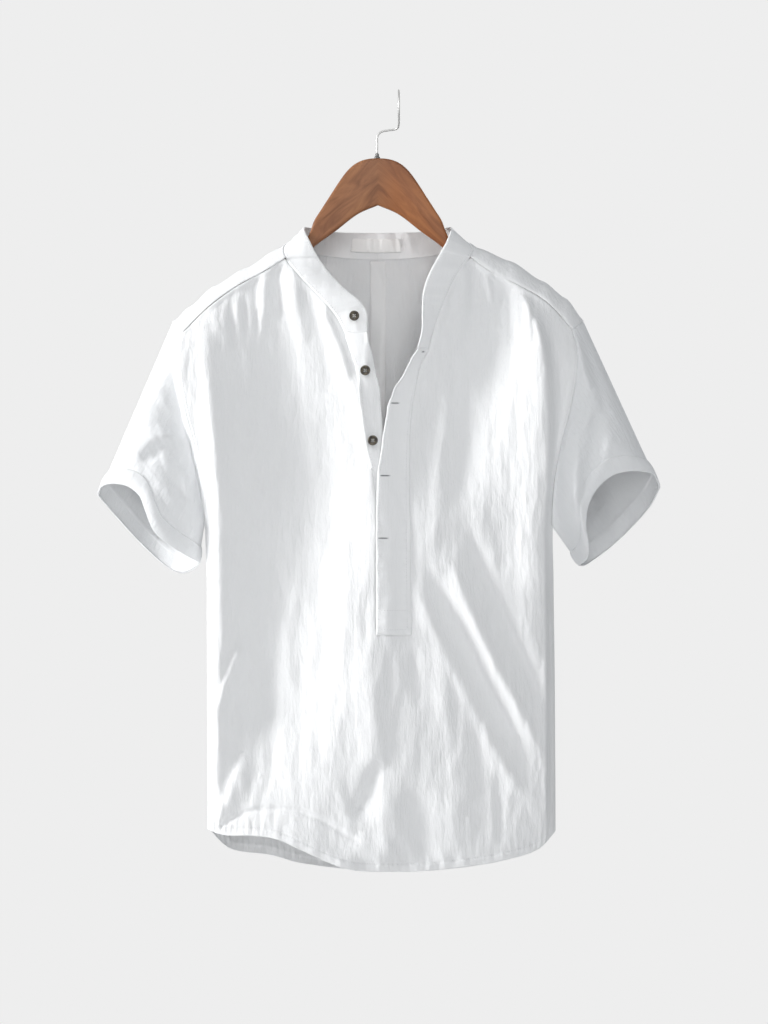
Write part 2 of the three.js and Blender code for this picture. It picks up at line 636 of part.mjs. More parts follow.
// Back, one panel that comes forward over the shoulders to their seam, and the strip inside it
function backPanel() {
  const neckColumns = 6;
  const columns = SHOULDER_COLUMNS + neckColumns;
  const nearRidge = [0, 0.0015, 0.006, 0.014, 0.028, 0.05, 0.08, 0.12, 0.165, 0.21, 0.255, 0.3, 0.345, 0.39];
  const edgeRows = 11;
  const armholeShare = nearRidge[nearRidge.length - 1];
  const belowArmhole = steps(edgeRows).slice(1).map((s) => armholeShare + (1 - armholeShare) * s);
  const downSteps = [...nearRidge, ...belowArmhole];
  const hem = through(BACK_HEM, ['across', 'down']);
  const hemLast = BACK_HEM.length - 1;
  // Place on the hem straight below the neck's middle, and the width of one row of the hem there
  const hemMiddle = 4.45;
  const hemRow = 68;
  const collarRow = COLLAR[COLLAR_BACK + 1].seamAcross;
  const half = (side) => {
    const sign = signOf(side);
    const shoulder = COLLAR_BACK + sign * (COLLAR_BACK - COLLAR_LEFT_SHOULDER);
    const ridge = COLLAR_BACK + sign * (COLLAR_BACK - COLLAR_LEFT_RIDGE);
    const seam = shoulderPlaces(side, SHOULDER_COLUMNS);
    const ridgeLine = seam.map((_, i) => {
      const f = i / SHOULDER_COLUMNS;
      const across = sign * (RIDGE_END + (COLLAR[COLLAR_RIGHT_RIDGE].seamAcross - RIDGE_END) * f);
      return [across, ridgeDown(across)];
    });
    const collarPart = WRAP_SHARES.map((f) => collarSeam(shoulder + (ridge - shoulder) * f));
    const wrap = WRAP_SHARES.slice(0, -1).map((f, j) => seam.map((start, i) => {
      const end = ridgeLine[i];
      const share = i / SHOULDER_COLUMNS;
      const plain = [0, 1].map((k) => start[k] * (1 - f) + end[k] * f);
      const last = seam.length - 1;
      const drift = [0, 1].map((k) => collarPart[j][k] - (seam[last][k] * (1 - f) + ridgeLine[last][k] * f));
      return [0, 1].map((k) => plain[k] + drift[k] * share ** 3);
    }));
    const stripEdge = sign * STRIP_WIDTH * 0.5;
    const neck = along(collarSeam, ridge, COLLAR_BACK + stripEdge / collarRow, neckColumns);
    const top = joined(ridgeLine, neck);
    const crowded = steps(columns, 0.85);
    const bottom = crowded.map((s) => hem(side === 'left'
      ? s * (hemMiddle + stripEdge / hemRow)
      : hemLast - s * (hemLast - hemMiddle - stripEdge / hemRow)));
    const left = joined(armhole(side).behind, sideSeam(side, ARMHOLE_FOOT, HEM_AT_SIDE[side], edgeRows));
    const neckEnd = neck[neck.length - 1];
    const hemEnd = hem(hemMiddle + stripEdge / hemRow);
    const right = downSteps.map((t) => [0, 1].map((k) => neckEnd[k] * (1 - t) + hemEnd[k] * t));
    const low = patch(left, right, top, bottom, crowded, downSteps);
    return { wrap, low };
  };
  const left = half('left');
  const right = half('right');
  const points = [];
  const quads = [];
  const add = (across, down, behind) => points.push(body(across, down, behind)) - 1;
  const lowIndex = left.low.map((row, j) => {
    const other = [...right.low[j]].reverse();
    const centre = [0, 1].map((k) => (row[columns][k] + other[0][k]) / 2);
    return [...row, centre, ...other].map(([across, down]) => add(across, down, 1));
  });
  const knit = (upper, lower) => {
    for (let i = 0; i < upper.length - 1; i += 1) {
      quads.push([upper[i], lower[i], lower[i + 1], upper[i + 1]]);
    }
  };
  for (let j = 0; j < lowIndex.length - 1; j += 1) knit(lowIndex[j], lowIndex[j + 1]);
  [left.wrap, right.wrap].forEach((wrap, k) => {
    const ridgeRow = k === 0
      ? lowIndex[0].slice(0, SHOULDER_COLUMNS + 1)
      : [...lowIndex[0]].reverse().slice(0, SHOULDER_COLUMNS + 1);
    const rows = [...wrap.map((row) => row.map(([across, down]) => add(across, down, 0))), ridgeRow];
    if (k === 1) rows.forEach((row) => row.reverse());
    for (let j = 0; j < rows.length - 1; j += 1) knit(rows[j], rows[j + 1]);
  });
  const outward = (point) => new THREE.Vector3(0, point.z < -SLIT_ROWS[1] ? 1 : 0, 0);
  const stripRows = lowIndex.slice(3, -1).map((row) => row.slice(columns, columns + 3).map((index) => {
    const point = points[index].clone();
    point.y -= CLOTH + SEAM_GAP;
    return point;
  }));
  return [
    wall('back_panel', { points, quads }, outward, CLOTH, white),
    wall('back_strip', gridSheet(stripRows), awayFromViewer, STRIP_THICKNESS, stripWhite, 0),
  ];
}

// Strands of a sleeve, each from a place on the armhole to one on the rim of the cuff
function sleeveStrands(side) {
  const frontTable = side === 'left' ? CUFF_LEFT_FRONT : CUFF_RIGHT_FRONT;
  const backTable = side === 'left' ? CUFF_LEFT_BACK : CUFF_RIGHT_BACK;
  const frontRim = through(frontTable, ['across', 'down', 'depth']);
  const backRim = through(backTable, ['across', 'down', 'depth']);
  const { wrap, front, behind } = armhole(side);
  const arc = (places, back, rim, last) => {
    const starts = places.map(([across, down]) => body(across, down, back));
    const lengths = [0];
    for (let i = 1; i < starts.length; i += 1) {
      lengths.push(lengths[i - 1] + starts[i].distanceTo(starts[i - 1]));
    }
    return starts.map((start, i) => {
      const f = lengths[i] / lengths[lengths.length - 1];
      return { start, end: place(...rim(f * last)), front: back ? -1 : 1, f };
    });
  };
  const frontArc = arc([...wrap.slice(1).reverse(), ...front], 0, frontRim, frontTable.length - 1);
  const backArc = arc(behind, 1, backRim, backTable.length - 1);
  return [...frontArc, ...backArc.slice(1, -1).reverse()];
}

function sleevePoint(strand, share) {
  const { start, end, front, f } = strand;
  const point = start.clone().lerp(end, share);
  const swell = Math.sin(share * Math.PI) * Math.sin(f * Math.PI);
  point.y -= front * SLEEVE_SWELL * swell;
  return point;
}

function sleeve(side) {
  const strands = sleeveStrands(side);
  const shares = steps(8);
  const cuffShare = strands.map(({ start, end }) => 1 - CUFF_HEIGHT / start.distanceTo(end));
  const rows = shares.map((s) => strands.map((strand, i) => sleevePoint(strand, s * cuffShare[i])));
  const cuffRows = [0, 0.5, 1].map((s) => strands.map((strand, i) => (
    sleevePoint(strand, cuffShare[i] + (1 - cuffShare[i]) * s))));
  const centres = [strands[0].start, strands[Math.floor(strands.length / 2)].end];
  const middle = centres[0].clone().lerp(centres[1], 0.5);
  const outward = (point) => point.clone().sub(middle);
  return [
    wall(`sleeve_${side}`, gridSheet(rows, true), outward, CLOTH, white, 1.6 * SEAM_GAP),
    wall(`cuff_${side}`, gridSheet(cuffRows, true), outward, DOUBLE_CLOTH, white),
  ];
}

// Collar band
function collarPoint(position, share) {
  const row = Math.min(Math.floor(position), COLLAR.length - 2);
  const f = position - row;
  const behind = position >= COLLAR_LEFT_RIDGE && position <= COLLAR_RIGHT_RIDGE ? 1 : 0;
  const [seamAcross, seamDown] = collarSeam(position);
  const seam = body(seamAcross, seamDown, behind);
  const [topAcross, topDown] = through(COLLAR, ['topAcross', 'topDown'])(position);
  const lean = COLLAR[row].lean * (1 - f) + COLLAR[row + 1].lean * f;
  const top = place(topAcross, topDown, seam.y + lean);
  return seam.lerp(top, share);
}

function collarBand() {
  const count = 2 * (COLLAR.length - 1);
  const shares = [0.01, 0.34, 0.67, 1];
  const rows = shares.map((share) => steps(count).map((s) => collarPoint(s * (COLLAR.length - 1), share)));
  const outward = (point) => new THREE.Vector3(point.x - CENTRE_FROM_HOOK, point.y + 5, 0);
  return wall('collar_band', gridSheet(rows), outward, DOUBLE_CLOTH, white);
}

// A placket between its seam on the slit and its free edge
function placketPoint(side, down, share) {
  const table = side === 'left' ? UNDER_PLACKET : OVER_PLACKET;
  const seam = slitAcross(side, down);
  const free = lookUp(table, 'down', down, 'free');
  const seamSink = lookUp(table, 'down', down, 'seamSink');
  const freeSink = lookUp(table, 'down', down, 'freeSink');
  const point = body(seam + (free - seam) * share, down);
  point.y += seamSink + (freeSink - seamSink) * share;
  return point;
}

function placket(name, side, count) {
  const table = side === 'left' ? UNDER_PLACKET : OVER_PLACKET;
  const first = table[0].down;
  const last = table[table.length - 1].down;
  const rows = steps(count).map((s) => steps(3).map((share) => (
    placketPoint(side, first + (last - first) * s, share))));
  return wall(name, gridSheet(rows), towardsViewer, DOUBLE_CLOTH, white, 2.8 * SEAM_GAP);
}

// Bare neck label on the inside of the collar
function neckLabel() {
  const thickness = 0.8;
  const rows = [0.3, 0.75].map((share) => steps(6).map((s) => {
    const point = collarPoint(COLLAR_BACK - 0.54 + 1.0 * s, share);
    point.y -= DOUBLE_CLOTH + SEAM_GAP + 0.1;
    return point;
  }));
  return wall('neck_label', gridSheet(rows), awayFromViewer, thickness, stripWhite, 0);
}

// Buttons, dished discs that face the viewer
function button(row, number) {
  const rim = 1.1;
  const profile = [
    [0, 0],
    [BUTTON_RADIUS * 0.72, 0],
    [BUTTON_RADIUS, BUTTON_THICKNESS * 0.4],
    [BUTTON_RADIUS, BUTTON_THICKNESS * 0.75],
    [BUTTON_RADIUS - rim * 0.5, BUTTON_THICKNESS],
    [BUTTON_RADIUS - rim, BUTTON_THICKNESS * 0.85],
    [BUTTON_RADIUS * 0.45, BUTTON_THICKNESS * 0.7],
    [0, BUTTON_THICKNESS * 0.65],
  ].map(([radius, height]) => new THREE.Vector2(radius, height));
  const mesh = named(`button_${number}`, new THREE.LatheGeometry(profile, 20), buttonMaterial);
  const seat = row.on === 'collar'
    ? collarPoint(row.row, row.share)
    : placketPoint('left', row.down, row.share);
  mesh.position.set(seat.x, seat.y - row.rise, seat.z);
  mesh.rotation.x = Math.PI;
  return mesh;
}

// Hanger of wood, with a bevel all round
function hangerBody() {
  const bevel = 2;
  const half = [...HANGER_TOP, ...HANGER_BOTTOM];
  const right = half.map(({ across, down }) => [across, -down]);
  const left = [...half].reverse().map(({ across, down }) => [-across, -down]).slice(1, -1);
  const shape = new THREE.Shape([...right, ...left].map(([x, z]) => new THREE.Vector2(x, z)));
  const geometry = new THREE.ExtrudeGeometry(shape, {
    depth: HANGER_THICKNESS - 2 * bevel,
    bevelEnabled: true,
    bevelThickness: bevel,
    bevelSize: bevel,
    bevelOffset: -bevel,
    bevelSegments: 2,
  });
  geometry.translate(0, 0, -(HANGER_THICKNESS / 2 - bevel));
  geometry.rotateX(Math.PI / 2);
  geometry.translate(CENTRE_FROM_HOOK, 0, 0);
  return named('hanger_body', geometry, woodMaterial);
}

function ferrule() {
  const profile = [[0, 0], [3.4, 0], [3.4, 1], [2.4, 2], [2.2, 5], [0, 5]];
  const geometry = new THREE.LatheGeometry(profile.map(([r, h]) => new THREE.Vector2(r, h)), 16);
  geometry.rotateX(Math.PI / 2);
  geometry.translate(CENTRE_FROM_HOOK - 1, 0, -76.7);
  return named('hanger_ferrule', geometry, wireMaterial);
}

// Wire hook: a stem, a jog to the side, and a curl that stands edge-on to the viewer
function hook() {
  const curlCentre = WIRE_RADIUS - HOOK_RADIUS;
  const stem = CENTRE_FROM_HOOK - 1;
  const route = [
    new THREE.Vector3(stem, 0, -71.4),
    new THREE.Vector3(stem, 0, -60),
    new THREE.Vector3(stem + 0.3, 0, -52),
    new THREE.Vector3(stem + 4, 0, -47),
    new THREE.Vector3(stem + 12, -0.5, -45),
    new THREE.Vector3(stem + 20, -2, -44),
    new THREE.Vector3(-1.2, -5, -42),
    new THREE.Vector3(0, -9.5, -36),
  ];
  const curlStart = 205;
  const curlEnd = -35;
  for (let i = 0; i <= 8; i += 1) {
    const angle = THREE.MathUtils.degToRad(curlStart + ((curlEnd - curlStart) * i) / 8);
    const depth = HOOK_RADIUS * Math.cos(angle);
    route.push(new THREE.Vector3(0, depth, curlCentre + HOOK_RADIUS * Math.sin(angle)));
  }
  const section = new THREE.Shape(Array.from({ length: 8 }, (_, i) => {
    const angle = (i * Math.PI) / 4;
    return new THREE.Vector2(WIRE_RADIUS * Math.cos(angle), WIRE_RADIUS * Math.sin(angle));
  }));
  const geometry = new THREE.ExtrudeGeometry(section, {
    steps: 56,
    extrudePath: new THREE.CatmullRomCurve3(route),
  });
  return named('hanger_hook', geometry, wireMaterial);
}

const shirt = new THREE.Group();
shirt.add(frontPanel(), ...backPanel());
['left', 'right'].forEach((side) => shirt.add(...sleeve(side)));
shirt.add(collarBand());
shirt.add(placket('under_placket', 'left', 20), placket('over_placket', 'right', 22));
shirt.add(neckLabel());
BUTTONS.forEach((row, i) => shirt.add(button(row, i + 1)));

const hanger = new THREE.Group();
hanger.add(hangerBody(), ferrule(), hook());

const part = new THREE.Group();
part.add(shirt, hanger);
export default part;
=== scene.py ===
import math
import bpy
import numpy as np
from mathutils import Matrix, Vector, noise


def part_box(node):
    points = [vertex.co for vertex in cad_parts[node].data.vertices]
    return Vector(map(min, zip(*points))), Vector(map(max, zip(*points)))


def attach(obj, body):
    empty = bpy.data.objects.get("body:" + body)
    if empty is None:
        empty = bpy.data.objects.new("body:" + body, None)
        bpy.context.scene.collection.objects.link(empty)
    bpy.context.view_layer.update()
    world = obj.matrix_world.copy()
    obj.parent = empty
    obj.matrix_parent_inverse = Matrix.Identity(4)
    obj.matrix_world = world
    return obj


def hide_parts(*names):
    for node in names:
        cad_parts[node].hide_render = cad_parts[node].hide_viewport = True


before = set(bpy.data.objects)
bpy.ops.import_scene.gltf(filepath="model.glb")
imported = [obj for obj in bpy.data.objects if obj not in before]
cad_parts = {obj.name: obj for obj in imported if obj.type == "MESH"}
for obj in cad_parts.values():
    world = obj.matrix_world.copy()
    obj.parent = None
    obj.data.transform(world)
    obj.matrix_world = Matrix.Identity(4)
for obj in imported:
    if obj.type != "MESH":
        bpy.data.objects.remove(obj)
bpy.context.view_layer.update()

# A white crinkled shirt with a mandarin collar and a half placket, on a wooden hanger.
# Places on the cloth are in millimetres: across from the garment's centre line, down below the
# inner crest of the hook, and depth, negative towards the viewer. Folds are placed in the photograph.

# Driving dimensions, in millimetres
METRE = 0.001
CENTRE_FROM_HOOK = -24
SHOULDER_ROUND = 70
RIDGE_END = 236
ARMHOLE_FOOT = 500
ARMHOLE_FOOT_ACROSS = 199.5
SLIT_BOTTOM = 622
CUFF_HEIGHT = 20
SLEEVE_SWELL = 9
SIDE_ROUND = 0.25
SIDE_ROUND_BACK = 0.34
STRIP_TOP = 194
STRIP_BOTTOM = 893
STRIP_WIDTH = 18
BUTTON_RADIUS = 5.75
BUTTON_LIFT = 1.1
HIDDEN_BUTTON_SINK = 0.8
BUTTON_HOLE_RADIUS = 0.62
BUTTON_HOLE_OFFSET = 1.1
HANGER_THICKNESS = 12
WIRE_RADIUS = 1.2
HOOK_RADIUS = 19
CLOTH = 0.9
BAND = 1.5
TAPE = 0.7
LABEL = 0.4
SEAM_DIP = 0.5
PLACKET_DIP = 0.2
COLLAR_DIP = 0.4
CUFF_DIP = 0.3
FRONT_SHOULDER_DIP = 1.1
BACK_SHOULDER_DIP = -0.7
HEM_BAND = 9
FOLD_FADE = 9
PLACKET_LAP = 1.8
CUFF_CLOTH = 2.2
STITCH_LENGTH = 2.3
STITCH_PITCH = 3.1
THREAD_RADIUS = 0.3
THREAD_SEAT = 0.2

# The photograph's scale, and the places of the centre line and of the hook's crest in it
PIXEL = 1.15
PHOTO_CENTRE = 378
PHOTO_CREST = 91.4
PHOTO_MIDDLE = (384, 512)
PHOTO_HEIGHT = 1024

# Steps along each fold, and the least length that counts
FOLD_STEPS = 16
TINY = 1e-9

# Body by height: down, half width, centre, depth of the front, depth of the back
SECTIONS = [
    (130, 277, 0, 20, 30),
    (174, 277, 0, 26, 38),
    (217, 277, 0, 34, 42),
    (277, 277, 0, 42, 44),
    (326, 277, 0, 46, 45),
    (366, 269, 0, 49, 45),
    (407, 254, 0, 51, 45),
    (447, 226, 0, 52, 45),
    (480, 206, 0.5, 53, 45),
    (505, 200, 1, 53, 45),
    (560, 199.5, 2.5, 52, 44),
    (700, 200, 3.5, 50, 43),
    (815, 200, 4, 48, 42),
    (900, 200, 4, 47, 42),
]

# Top line of the shoulders: across, down on the left, down on the right
RIDGE = [
    (0, 130, 130), (50, 146, 146), (80, 160, 160), (103, 174, 174), (115, 181, 181),
    (152, 203, 196), (189, 224, 219), (216, 247, 239), (236, 265, 264), (262, 300, 298),
]

# Forward shoulder seam from the armhole to the collar: across, down on the left and on the right
SHOULDER_SEAM = [(223, 277, 275), (194, 248, 243), (163, 225, 224), (130, 207, 208), (106, 192, 191)]

# Armhole seam below the shoulder seam: across, down on the left and on the right
ARMHOLE = [
    (223, 277, 275), (228, 297, 297), (227, 326, 326), (220, 366, 366),
    (209, 407, 407), (202, 447, 447), (199.5, 480, 480), (199.5, 500, 500),
]

# Collar from its left front end round the back to the right: across and down of the seam on the
# neck, across and down of the free edge, and how far that edge leans back
COLLAR = [
    (-36, 284, -12, 277, -3), (-46, 263, -13, 255, -2), (-59, 246, -21, 242, -1),
    (-74, 230, -36, 229, 0), (-90, 213, -54, 211, 2), (-106, 192, -69, 191, -1),
    (-109, 182, -79, 172, -7), (-103, 174, -85, 156, 1), (-88, 180, -74, 157, 0),
    (-61, 188, -52, 160, 1), (0, 192, 0, 161, 2), (61, 188, 52, 160, 1),
    (88, 180, 74, 157, 0), (103, 174, 84, 156, 1), (109, 182, 80, 171, -7),
    (106, 191, 73, 184, -8), (92, 209, 61, 207, -12), (82, 228, 53, 228, -15),
    (72, 253, 51, 252, -17), (64, 276, 51, 275, -17), (58, 297, 46, 296.5, -14),
]
COLLAR_SHOULDER = (5, 15)
COLLAR_RIDGE = (7, 13)
COLLAR_BACK = 10

# Where a border of the front counts as shoulder seam or as placket seam
COLLAR_FOOT = 286
NECK_REACH = 100
SLIT_REACH = 64

# Edges of the slit in the front: across, down
SLIT_LEFT = [(-36, 284), (-23, 326), (-15, 401), (-7, 435), (-2, 472), (-2, SLIT_BOTTOM)]
SLIT_RIGHT = [(58, 297), (48, 318), (39, 361), (35, 412), (35, 520), (36, SLIT_BOTTOM)]
SLITS = {"left": SLIT_LEFT, "right": SLIT_RIGHT}

# Plackets: down, across of the free edge, and how far each edge lies behind the front
UNDER_PLACKET = [
    (278, -12, 0.9, 0.9), (286, -11, 0.3, 0.3), (311, -5, 0, 4), (349, 3, 0, 6), (401, 6, 0, 6),
    (440, 17, 1.5, 6), (476, 30, 2.4, 5), (520, 33, 2.6, 4), (618, 33.5, 2.6, 3.2),
]
OVER_PLACKET = [
    (297.6, 46, -0.4, -14), (311, 38, -0.4, -13), (323, 32, -0.4, -11), (346, 18, -0.4, -8),
    (365, 11, -0.4, -7), (407, 5, -0.4, -5.5), (447, -1, -0.4, -4), (540, -2, -0.4, -3.2),
    (622, -1.5, -0.4, -2.4),
]
PLACKETS = {"left": UNDER_PLACKET, "right": OVER_PLACKET}

# Hems, left to right: across, down
FRONT_HEM = [
    (-196, 848), (-176, 853), (-147, 853), (-118, 856), (-90, 868), (-49, 886), (-21, 893),
    (37, 894), (100, 889), (151, 880), (184, 869), (204, 850),
]
BACK_HEM = [
    (-196, 848), (-171, 872), (-124, 880), (-92, 889), (-31, 897), (37, 895),
    (100, 890), (160, 880), (190, 868), (204, 850),
]

# Rims of the cuffs from the outer tip to the underarm tip: across, down, depth
CUFF_FRONT = {
    "left": [
        (-322, 465, 0), (-317, 455, -14), (-304, 452, -27), (-287, 455, -35), (-273, 466, -38),
        (-266, 484, -39), (-257, 505, -37), (-240, 521, -31), (-218, 535, -19), (-206, 542, 0),
    ],
    "right": [
        (324, 456, 0), (317, 442, -13), (303, 438, -25), (286, 438, -33), (268, 443, -38),
        (251, 458, -40), (241, 478, -40), (239, 500, -37), (242, 520, -30), (241, 536, -18),
        (232, 545, 0),
    ],
}
CUFF_BACK = {
    "left": [
        (-322, 465, 0), (-312, 478, 20), (-296, 497, 34), (-278, 517, 41), (-256, 538, 42),
        (-238, 551, 36), (-224, 554, 26), (-212, 549, 13), (-206, 542, 0),
    ],
    "right": [
        (324, 456, 0), (314, 477, 20), (294, 501, 35), (271, 523, 40), (251, 538, 34),
        (239, 545, 18), (232, 545, 0),
    ],
}

# Hanger, half outline from the crest to the tip and back under to the notch: across, down
HANGER = [
    (0, 77), (10, 77.6), (20, 80.2), (29, 85.5), (37, 93.5), (46, 106), (56, 121.5), (66, 137),
    (73.5, 149), (77.5, 160), (84, 173), (96, 184), (115, 191), (152, 207.3), (189, 227.3),
    (212, 248.2), (215, 255), (209, 262), (186, 254), (150, 236), (103, 210), (76, 181), (48, 160),
    (23, 141), (0, 131),
]


def from_photo(x, y):
    """Across and down in millimetres of a place in the photograph."""
    return ((x - PHOTO_CENTRE) * PIXEL, (y - PHOTO_CREST) * PIXEL)


def fold(height, left, right, *path):
    """A ridge, or a trough if height is negative: millimetres high, its half width in photo pixels
    to the left and to the right of a path of places in the photograph that runs downwards."""
    places = [from_photo(*place) for place in path]
    return {"height": height, "left": left * PIXEL, "right": right * PIXEL, "path": places}


# Folds of the front, the left half first
FRONT_FOLDS = [
    fold(11, 13, 13, (203, 335), (217, 450), (219, 600), (217, 720), (216, 832)),
    fold(-29, 62, 50, (262, 262), (286, 350), (302, 420), (305, 500), (298, 570), (285, 630),
         (277, 690), (268, 750), (268, 812)),
    fold(4, 8, 12, (302, 560), (289, 640), (284, 720), (286, 795)),
    fold(4, 8, 10, (289, 262), (300, 330), (309, 400), (314, 480)),
    fold(-5, 12, 9, (302, 275), (322, 330), (344, 400), (362, 470)),
    fold(4, 6, 6, (312, 292), (336, 345), (356, 400), (368, 455)),
    fold(-3, 6, 5, (330, 310), (346, 345), (358, 390)),
    fold(-4, 5, 5, (276, 262), (284, 325)),
    fold(3, 4, 4, (266, 270), (261, 345)),
    fold(-2.5, 4, 4, (230, 302), (236, 352)),
    fold(-2.5, 4, 4, (243, 294), (248, 338)),
    fold(-2.5, 4, 4, (255, 286), (259, 340)),
    fold(7, 5, 9, (243, 640), (231, 675), (217, 712)),
    fold(5, 6, 10, (247, 752), (233, 790), (216, 822)),
    fold(4, 16, 12, (368, 620), (372, 700), (380, 770), (394, 850)),
    fold(3, 30, 16, (374, 420), (376, 520), (378, 620), (380, 740)),
    fold(-5, 14, 22, (408, 330), (404, 420), (403, 540), (406, 640)),
    fold(-7, 9, 12, (380, 758), (366, 795), (350, 816)),
    fold(-6, 12, 14, (408, 785), (420, 830), (430, 862)),
    fold(5, 16, 14, (352, 836), (372, 850), (398, 842)),
    fold(-2.5, 7, 7, (330, 600), (322, 680), (318, 770)),
    fold(2.5, 7, 7, (345, 520), (346, 600), (342, 690)),
    fold(-15, 52, 24, (488, 250), (503, 305), (489, 355), (474, 402), (463, 450), (456, 520)),
    fold(19, 30, 8, (515, 285), (540, 345), (545, 450), (545, 560), (547, 640)),
    fold(-4, 8, 10, (556, 345), (562, 410), (553, 490)),
    fold(-8, 13, 9, (466, 520), (482, 568), (504, 620), (522, 655), (546, 712)),
    fold(6, 9, 8, (446, 550), (476, 624), (500, 675), (522, 715), (545, 762)),
    fold(-8, 14, 8, (424, 560), (464, 636), (486, 680), (507, 722), (530, 770)),
    fold(4, 9, 9, (408, 575), (440, 640), (470, 700), (500, 760), (534, 806)),
    fold(-3, 4, 4, (495, 772), (500, 846)),
    fold(-4, 6, 6, (470, 262), (473, 300), (466, 345)),
    fold(3.5, 4, 4, (484, 262), (492, 305)),
    fold(-2.5, 4, 4, (497, 285), (501, 332)),
    fold(-3, 5, 5, (508, 288), (513, 350)),
    fold(-2.5, 4, 4, (521, 300), (524, 356)),
    fold(-2.5, 4, 4, (532, 306), (533, 350)),
    fold(-4, 6, 7, (462, 268), (451, 300), (440, 338)),
    fold(4, 10, 6, (546, 640), (551, 740), (547, 830)),
    fold(8, 44, 9, (552, 600), (556, 700), (556, 845)),
    fold(2.5, 10, 9, (440, 650), (450, 760), (456, 852)),
    fold(-2.5, 9, 9, (475, 700), (480, 800), (483, 852)),
    fold(-3, 7, 8, (412, 640), (420, 710)),
    fold(3, 8, 8, (448, 400), (440, 470), (432, 560)),
]

# Folds of the back, seen through it from the front
BACK_FOLDS = [
    fold(-13.5, 44, 30, (300, 270), (312, 420), (310, 600), (298, 760), (290, 868)),
    fold(9, 16, 15, (246, 330), (240, 470), (246, 640), (240, 846)),
    fold(7.5, 13, 14, (342, 300), (350, 460), (348, 640), (336, 868)),
    fold(-12, 30, 42, (458, 270), (446, 420), (452, 600), (460, 760), (468, 860)),
    fold(9, 15, 17, (506, 330), (514, 470), (508, 640), (510, 850)),
    fold(7.5, 11, 12, (412, 300), (410, 460), (404, 640), (410, 780)),
    fold(-6, 8, 6, (384, 300), (380, 430), (386, 560)),
    fold(-9, 13, 9, (214, 420), (246, 470), (284, 540), (306, 610)),
    fold(6, 9, 8, (212, 452), (240, 508), (270, 570)),
    fold(-9, 9, 13, (544, 420), (512, 474), (476, 540), (456, 612)),
    fold(6, 8, 9, (546, 456), (520, 512), (488, 574)),
    fold(-7.5, 9, 11, (224, 610), (246, 690), (258, 780), (256, 852)),
    fold(-7.5, 12, 9, (540, 640), (524, 712), (506, 790), (500, 848)),
    fold(5.2, 7, 7, (372, 560), (364, 680), (370, 800)),
    fold(-5.2, 7, 6, (430, 600), (436, 700), (428, 820)),
    fold(-4.5, 5, 5, (330, 262), (334, 318)),
    fold(-4.5, 5, 5, (426, 262), (423, 322)),
    fold(-4.5, 5, 4, (286, 268), (290, 330)),
    fold(-4.5, 4, 5, (470, 268), (466, 334)),
    fold(-3.8, 6, 6, (322, 700), (330, 780), (326, 866)),
]

# Folds of the sleeves, on the front and on the back
SLEEVE_FOLDS = {
    "left": [
        fold(-14, 44, 9, (180, 325), (182, 400), (194, 450), (202, 500), (205, 545)),
        fold(3, 14, 12, (162, 350), (140, 415), (116, 462)),
        fold(-3.5, 7, 9, (140, 468), (152, 455), (166, 450), (180, 458), (190, 474)),
        fold(3.5, 8, 8, (134, 462), (146, 444), (164, 436), (186, 444)),
        fold(3, 6, 9, (190, 335), (197, 380), (196, 425)),
        fold(-5, 8, 7, (197, 430), (201, 490), (206, 545)),
        fold(4, 6, 7, (186, 470), (192, 510), (196, 540)),
        fold(3, 7, 8, (196, 350), (194, 400), (192, 440)),
    ],
    "right": [
        fold(4.5, 5, 4, (570, 328), (579, 358), (589, 392)),
        fold(-4, 5, 7, (582, 335), (596, 378), (608, 420)),
        fold(5, 12, 8, (600, 350), (624, 405), (650, 452)),
        fold(-5, 8, 9, (600, 400), (592, 450), (586, 510)),
        fold(3.5, 12, 13, (598, 450), (616, 446), (638, 454)),
        fold(4, 9, 9, (566, 400), (563, 470), (562, 540)),
        fold(-5, 6, 7, (552, 440), (554, 500), (562, 552)),
        fold(3, 5, 5, (576, 440), (574, 500), (572, 540)),
    ],
    "left_back": [
        fold(-6, 12, 12, (190, 345), (170, 410), (150, 480)),
        fold(5, 10, 12, (166, 350), (142, 420), (122, 480)),
        fold(-5, 8, 8, (198, 430), (186, 490), (174, 540)),
        fold(4, 8, 7, (200, 390), (180, 460), (160, 520)),
    ],
    "right_back": [
        fold(-6, 12, 12, (566, 345), (588, 410), (606, 480)),
        fold(5, 12, 10, (592, 350), (616, 410), (636, 470)),
        fold(-5, 8, 8, (556, 430), (568, 490), (582, 545)),
        fold(4, 7, 8, (558, 390), (580, 460), (602, 520)),
    ],
}

# Crease above the front hem where it flares, left to right in the photograph
FLARE_CREASE = [
    (206, 838), (222, 825), (238, 814), (258, 808), (278, 807), (300, 809), (322, 818),
    (346, 832), (374, 846),
]
FLARE = 9
FLARE_REACH = 34
FLARE_FADE_LEFT = 24
FLARE_FADE_RIGHT = 40
FLARE_DENT = 2.2
FLARE_DENT_WIDTH = 3.4

# Hems: the double cloth's step, the puckers' height and reach, and the stitched groove
HEM_STEP = 0.6
HEM_PUCKER = 1.3
HEM_PUCKER_REACH = 7
HEM_GROOVE = 0.8
HEM_GROOVE_WIDTH = 1.3

# Crinkles, coarse to fine: height, and waves in a millimetre across and down
CRINKLES = [(1.4, 0.045, 0.013), (1.0, 0.11, 0.032), (0.45, 0.26, 0.075)]
BODY_CRINKLE = 1.25
COLLAR_CRINKLE = 0.6


# Interpolation

def smooth_step(start, end, value):
    f = np.clip((value - start) / (end - start), 0, 1)
    return f * f * (3 - 2 * f)


def lengths_along(points):
    """The length of a polyline up to each of its points."""
    return np.concatenate([[0], np.cumsum(np.linalg.norm(np.diff(points, axis=0), axis=1))])


def unit(vectors):
    """Rows of vectors at length one."""
    return vectors / np.maximum(np.linalg.norm(vectors, axis=1), TINY)[:, None]


